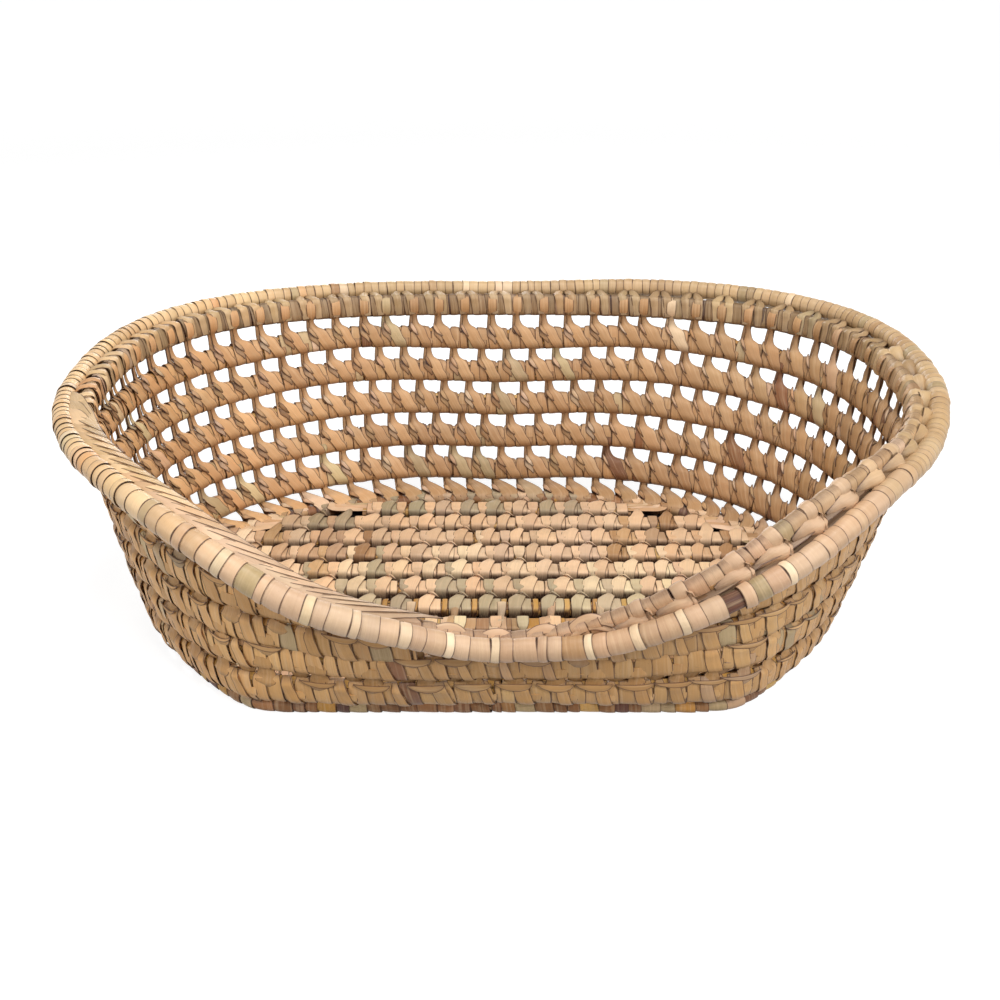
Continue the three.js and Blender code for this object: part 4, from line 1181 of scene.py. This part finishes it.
def dress_wall(row, node, tone_of, pitch, narrow):
    """A wall row's own wraps, and the stitches that go from it round the row below."""
    leaves = Leaves()
    tint = Tint(0.08)
    start, end = (0.0, row.length) if row.closed else (0.6, row.length - 0.6)
    # The last 0.5 is the painted shade where the wraps turn in at the row's edges.
    bind(leaves, row, start, end, pitch, lambda s: tone_of(tint, row.angle_at(s)), narrow, 0.05, 0.5, 0.5)
    for s in even_out(arrivals[id(row)], row.length, row.closed, 4.0, row.length - 4.0):
        angle = row.angle_at(s)
        below = row_under(row, angle)
        if below is None:
            continue
        edge = row.at(s, -row.half_a, 0)
        s_low = below.nearest(edge)
        foot = below.at(s_low, 0, HALF_THICK) if below is EDGE else below.at(s_low, below.half_a, 0)
        if np.linalg.norm(edge - foot) < 1.0 or edge[2] < foot[2] - 1:
            continue
        if not below.closed and not 8 < s_low < below.length - 8:
            continue
        arrivals[id(below)].append(s_low - SLIP - SLIP_ON_RIGHT * far_right(angle))
        spare = dulled(pick((PINK, 2), (INNER, 2)), 0.95)
        tone = wall_tone(tint, angle) if row is BAND else tone_of(tint, angle)
        if below is EDGE:
            edge_stitch(leaves, row, s, s_low, tone, spare)
        else:
            wall_stitch(leaves, Meeting(row, below, s, s_low), tone, spare)
    leaves.piece(node, WALL_LEAF)


# Rim roll. back is a distance before a lashing, and across goes from the roll to the band.
def band_beside(s):
    """The place along the band nearest to a place of the roll."""
    return BAND.nearest(ROLL.at(s, 0, -ROLL_RADIUS))


def between(s, s_band, back, share, rise):
    """A place in the groove, on the line from the roll to the band, and the way that faces out of it."""
    roll = ROLL.at(s - back, -0.5, -ROLL_RADIUS)
    band = BAND.at(s_band - back, BAND.half_a - 1.5, HALF_THICK)
    line = unit(band - roll)
    face = unit(UP - line * line[2])
    return roll * (1 - share) + band * share + face * rise, face


def puff(leaves, s, tone):
    """A plump strip in the groove between band and roll, and one that goes on round the band."""
    s_band = band_beside(s)
    widths = np.array([4.0, 8.4, 12.8, 15.0, 14.0, 8.6]) * uniform(0.92, 1.12)
    path = ((9.6, 0.5, -1.2), (6.0, 0.52, 1.4), (2.0, 0.54, 3.8), (-2.2, 0.52, 4.8), (-5.8, 0.5, 3.6),
            (-8.4, 0.48, -1.8))
    leaves.strand([between(s, s_band, *step) for step in path], widths,
                  bounded(tone * uniform(0.9, 1.05)), [0.8, 1.0, 1.15, 1.2, 1.2, 1.2], 26,
                  [0.8, 0.2, 0, 0, 0.1, 0.8])
    leaves.wrap(BAND, s_band + 4.6, uniform(6.0, 8.0), -3.5, dulled(tone, 0.98), 0.5, 0.6, 0.35, 0.6)


def pleats(leaves, s, tone):
    """Two plump pleats that spread from the roll over the band's top, and a narrow dark wrap beside them,
    painted as the shade in the gap.
    """
    s_band = band_beside(s)
    h, w = BAND.half_a, HALF_THICK
    out = BAND.axes(s_band)[3]
    for near, far in ((1.8, 5.6), (-1.2, -3.2)):
        pleat = [(ROLL.at(s - near, 0.4, -ROLL_RADIUS + 0.4), unit(UP - 0.4 * out)),
                 between(s, s_band, (near + far) / 2, 0.55, 2.8),
                 (BAND.at(s_band - far, h + 1.3, w * 0.1), UP),
                 (BAND.at(s_band - far - 0.8, h - 0.6, -w - 0.8), unit(UP - out)),
                 (BAND.at(s_band - far - 1.6, 0.0, -w - 0.8), -out),
                 (BAND.at(s_band - far - 2.0, -h + 1.0, -w - 0.5), -out)]
        leaves.strand(pleat, [3.4, 7.0, 7.0, 6.0, 5.6, 4.6], bounded(tone * uniform(0.66, 0.92)),
                      [1.1, 1.1, 0.8, 0.4, 0.3, 0.3], 24, [0.8, 0.1, 0, 0, 0, 0.4])
    # A narrow dark wrap painted as the shade in the gap beside the pleats.
    leaves.wrap(BAND, s_band + 11.0, uniform(1.0, 2.2), -1.0, GAP_SHADE, 0.5, 0.1, 0.0, 0.1)


def deck(s, across, lift):
    """A place on the smooth surface from the roll's top (across 0) to the band's inner edge (1)."""
    near = ROLL.at(s, 4.0, -ROLL_RADIUS * 0.62)
    s_band = BAND.nearest(near)
    far = BAND.at(s_band, BAND.half_a + 0.7, -HALF_THICK - 0.4)
    face = unit(UP - 0.35 * BAND.axes(s_band)[3])
    bulge = 1.4 * math.sin(math.pi * min(max(across, 0), 1))
    return near * (1 - across) + far * across + face * (lift + bulge), face


def long_strips(leaves, s, tone):
    """At the left front, long strips lie along the rim and cross from the roll to the band's edge."""
    for shift in (0.0, LASHING_PITCH / 2):
        size = uniform(0.85, 1.15)
        lefts, rights, faces = [], [], []
        for back, across, half in ((36, 0.0, 0.12), (26, 0.14, 0.36), (13, 0.33, 0.46), (0, 0.55, 0.46),
                                   (-12, 0.76, 0.4), (-21, 0.9, 0.28), (-29, 1.02, 0.06)):
            lift = 0.2 + 0.6 * across
            left, _ = deck(s + shift - back, max(across - half * size, -0.12), lift)
            right, face = deck(s + shift - back, min(across + half * size, 1.06), lift)
            lefts.append(left)
            rights.append(right)
            faces.append(face)
        leaves.sheet(lefts, rights, faces, bounded(tone * uniform(0.8, 1.0)), 0.2, 30,
                     [0.2, 0, 0, 0, 0, 0.1, 0.5])


def rope_arch(leaves, s, tone):
    """At the front, a two-strand loop lies along the band's top, just inside the roll."""
    s_band = band_beside(s)
    face = unit(UP + 0.9 * BAND.axes(s_band)[3])
    for drop, proud, color in ((0.0, 0.0, tone), (-2.4, 1.9, dulled(tone, 0.93))):
        loop = [(BAND.at(s_band - back, BAND.half_a + rise + drop, HALF_THICK * side + proud), face)
                for back, rise, side in ((-11.5, -3.2, 1.3), (-7.5, -0.8, 0.6), (-2.5, 1.0, 0.1),
                                         (3.0, 0.9, 0.2), (8.0, -0.6, 0.7), (11.5, -3.0, 1.4))]
        leaves.strand(loop, [2.4, 4.6, 5.4, 5.4, 4.4, 2.4], color, 0.6, 18, [0.5, 0.1, 0, 0, 0.1, 0.5])


def groove(leaves, tint):
    """Long strips laid in the groove between band and roll, higher at the front left and painted dark
    elsewhere, as painted shade in the deep groove.
    """
    for lane, drop in ((0.35, -0.5), (0.72, -2.0)):
        for k in range(int(ROLL.length / GROOVE_STRIP)):
            s = (k + lane) * GROOVE_STRIP + np.linspace(0, GROOVE_STRIP * 1.25, 7)
            turn = ROLL.angle_at(s[3])
            front_left = math.cos(turn) < 0.1 and from_front(turn) < 80
            # Away from the front left the strips are painted at 0.38 of their tone: painted shade in the
            # groove.
            rise, sink, wide, bright = (2.0, 0.6, 1.5, 0.92) if front_left else (drop, 5.0, 1.0, 0.38)
            rolls = ROLL.at(s, rise, -ROLL_RADIUS)
            bands = np.array([BAND.at(BAND.nearest(p), BAND.half_a - sink, HALF_THICK) for p in rolls])
            share = (lane + 0.05 * np.sin(s / 9))[:, None]
            leaves.ribbon(rolls * (1 - share) + bands * share, unit(UP + 0.2 * ROLL.axes(s)[3]),
                          np.array([2, 5, 6, 6, 6, 5, 2.0]) * wide,
                          rim_tone(tint, ROLL.angle_at(s[0])) * bright, 0.3, 14,
                          [0.4, 0.1, 0, 0, 0, 0.1, 0.4])


def lashing_at(s):
    """What the lashing at a place of the roll looks like."""
    turn = from_front(ROLL.angle_at(s))
    on_left = math.cos(ROLL.angle_at(s)) < 0
    if turn < 21:
        return rope_arch
    if turn < 78 and on_left:
        return long_strips
    if turn > 105 or on_left:
        return pleats
    return puff


def rim_roll():
    leaves = Leaves()
    tint = Tint(0.06)
    gap_at = ROLL.s_at(math.radians(BROKEN_BINDING))
    start, end = gap_at + BROKEN_GAP / 2, gap_at - BROKEN_GAP / 2 + ROLL.length
    count = int(round((end - start) / LASHING_PITCH))
    period = (end - start) / count
    groove(leaves, tint)
    for k in range(count):
        s = start + k * period
        angle = ROLL.angle_at(s)
        parts = np.array([0.21, 0.35, 0.44] if from_front(angle) < 60 else [0.22, 0.26, 0.25, 0.27])
        parts = parts * uniform(0.82, 1.18, len(parts))
        parts = parts / parts.sum() * period
        plump = 0.05 + ROLL_PLUMP * float(left_front(angle))
        bright = uniform() < (0.85 if from_front(angle) < 30 else 0.12)
        for number, width in enumerate(parts):
            tone = pick((CREAM, 1)) if number == 0 and bright else rim_tone(tint, angle)
            lift = plump + (0.25 if number == 0 else 0.0)
            leaves.wrap(ROLL, s + width / 2, width * 1.07, -width * 0.15, tone, -0.375,
                        lift + uniform(0, 0.12), uniform(0.1, 0.3), uniform(0.25, 0.5), rings=25)
            s += width
        middle = start + (k + 0.12) * period
        lashing_at(middle)(leaves, middle, rim_tone(tint, angle))
    leaves.piece("rim_roll_wrap", RIM_LEAF)


# Making. Each wall row comes before the row that its stitches go round.
for index in range(FLOOR_ROWS):
    floor_row(index)
    core(FLOORS[index], "floor_row_%02d_core" % (index + 1), GOLDEN)
floor_edge()
core(EDGE, "floor_edge_core", GOLDEN)
dress_wall(BAND, "rim_band_wrap", band_tone, BAND_STRIP, 0.0)
core(BAND, "rim_band_core", DARK, shrink=1.0)
for number in range(WALL_ROWS, 0, -1):
    row = WALLS[number - 1]
    dress_wall(row, "wall_row_%d_wrap" % number, wall_tone, WALL_STRIP, 0.4)
    core(row, "wall_row_%d_core" % number, GOLDEN)
rim_roll()
core(ROLL, "rim_roll_core", DARK, shrink=0.9)

# Stage, in metres. A lamp has its place, size and power in watts.
STAGE_RADIUS = 3.2
STAGE_HEIGHT = 1.6
STAGE_FLAT = 0.55
STAGE_LEVEL = -0.0004
GROUND_GLOW = 0.88
GROUND_COLOR = (0.3, 0.3, 0.3, 1)
# The under-floor patch is painted shade: a near-black sheet a little inside the floor's outline.
PATCH_SHARE = 0.965
PATCH_LEVEL = -0.0001
PATCH_COLOR = (0.02, 0.012, 0.01, 1)
WORLD_STRENGTH = 0.21
LAMP_AIM = Vector((0, 0, 0.05))
LAMPS = {
    "key": ((0.5, -1.2, 1.15), 0.4, 10.5),
    "left": ((-1.1, -0.9, 0.5), 0.6, 6.0),
    "right": ((1.15, -0.8, 0.5), 0.6, 6.5),
    "top": ((0.1, -0.1, 1.75), 0.6, 18.0),
    "back": ((-0.2, 1.4, 0.35), 0.6, 7.0),
}


def ground_material():
    """White to the camera and in reflections, with a faint shadow."""
    material, add = shading("ground")
    path = add("LightPath", {}).outputs
    seen = add("Math", {0: path["Is Camera Ray"], 1: path["Is Glossy Ray"]}, operation="MAXIMUM")
    shown = add("Math", {0: seen.outputs["Value"], 1: GROUND_GLOW}, operation="MULTIPLY")
    light = add("Emission", {"Strength": shown.outputs["Value"]})
    matte = add("BsdfDiffuse", {"Color": GROUND_COLOR})
    both = add("AddShader", {0: matte.outputs["BSDF"], 1: light.outputs["Emission"]})
    add("OutputMaterial", {"Surface": both.outputs["Shader"]})
    return material


def dark_patch():
    """A dark sheet on the ground right under the basket's floor: painted shade where little light gets."""
    points = (outline[:-1] - MIDDLE) * PATCH_SHARE + MIDDLE
    verts = [(x * MM, y * MM, PATCH_LEVEL) for x, y, _ in points]
    mesh = bpy.data.meshes.new("shade_under_floor")
    mesh.from_pydata(verts, [], [tuple(range(len(verts)))])
    material, add = shading("shade_under_floor")
    shader = add("BsdfPrincipled", {"Base Color": PATCH_COLOR, "Roughness": 1.0})
    add("OutputMaterial", {"Surface": shader.outputs["BSDF"]})
    mesh.materials.append(material)
    add_object("shade_under_floor", mesh)


def stage_floor():
    """A pale ground that curves up into a backdrop on every side."""
    rings, sectors = 24, 64
    verts, faces = [(0.0, 0.0, STAGE_LEVEL)], []
    for i in range(rings):
        share = (i + 1) / rings
        reach = STAGE_RADIUS * share
        height = STAGE_HEIGHT * max(0.0, (share - STAGE_FLAT) / (1 - STAGE_FLAT)) ** 2 + STAGE_LEVEL
        for k in range(sectors):
            turn = 2 * math.pi * k / sectors
            verts.append((reach * math.cos(turn), reach * math.sin(turn), height))
            near, beside = 1 + i * sectors + k, 1 + i * sectors + (k + 1) % sectors
            faces.append((near - sectors, near, beside, beside - sectors) if i else (0, near, beside))
    mesh = bpy.data.meshes.new("ground")
    mesh.from_pydata(verts, [], faces)
    mesh.shade_smooth()
    mesh.materials.append(ground_material())
    add_object("ground", mesh)


def area_light(name, place, size, power):
    data = bpy.data.lights.new(name, "AREA")
    data.shape = "SQUARE"
    data.size = size
    data.energy = power
    lamp = add_object(name, data)
    lamp.location = place
    lamp.rotation_euler = (LAMP_AIM - Vector(place)).to_track_quat("-Z", "Y").to_euler()


stage_floor()
dark_patch()
for name, (place, size, power) in LAMPS.items():
    area_light(name, place, size, power)

world = bpy.data.worlds.new("world")
world.use_nodes = True
background = world.node_tree.nodes["Background"].inputs
background["Color"].default_value = (1, 1, 1, 1)
background["Strength"].default_value = WORLD_STRENGTH
bpy.context.scene.world = world

# The photograph's view: 24.2 degrees down from in front, with its centre 2 pixels to the right.
CAMERA_BACK = 680.0
CAMERA_HEIGHT = 363.2
CAMERA_DOWN = 24.2
FOCAL_PIXELS = 1300.0
IMAGE_PIXELS = 1000.0
CENTRE_SHIFT_PIXELS = 2.0
camera_data = bpy.data.cameras.new("camera")
camera_data.sensor_width = 36.0
camera_data.lens = FOCAL_PIXELS * camera_data.sensor_width / IMAGE_PIXELS
camera_data.shift_x = -CENTRE_SHIFT_PIXELS / IMAGE_PIXELS
camera_data.clip_start = 0.01
camera = add_object("camera", camera_data)
camera.location = (MIDDLE[0] * MM, (MIDDLE[1] - CAMERA_BACK) * MM, CAMERA_HEIGHT * MM)
camera.rotation_euler = (math.radians(90 - CAMERA_DOWN), 0, 0)
bpy.context.scene.camera = camera
bpy.context.scene.view_settings.view_transform = "Standard"
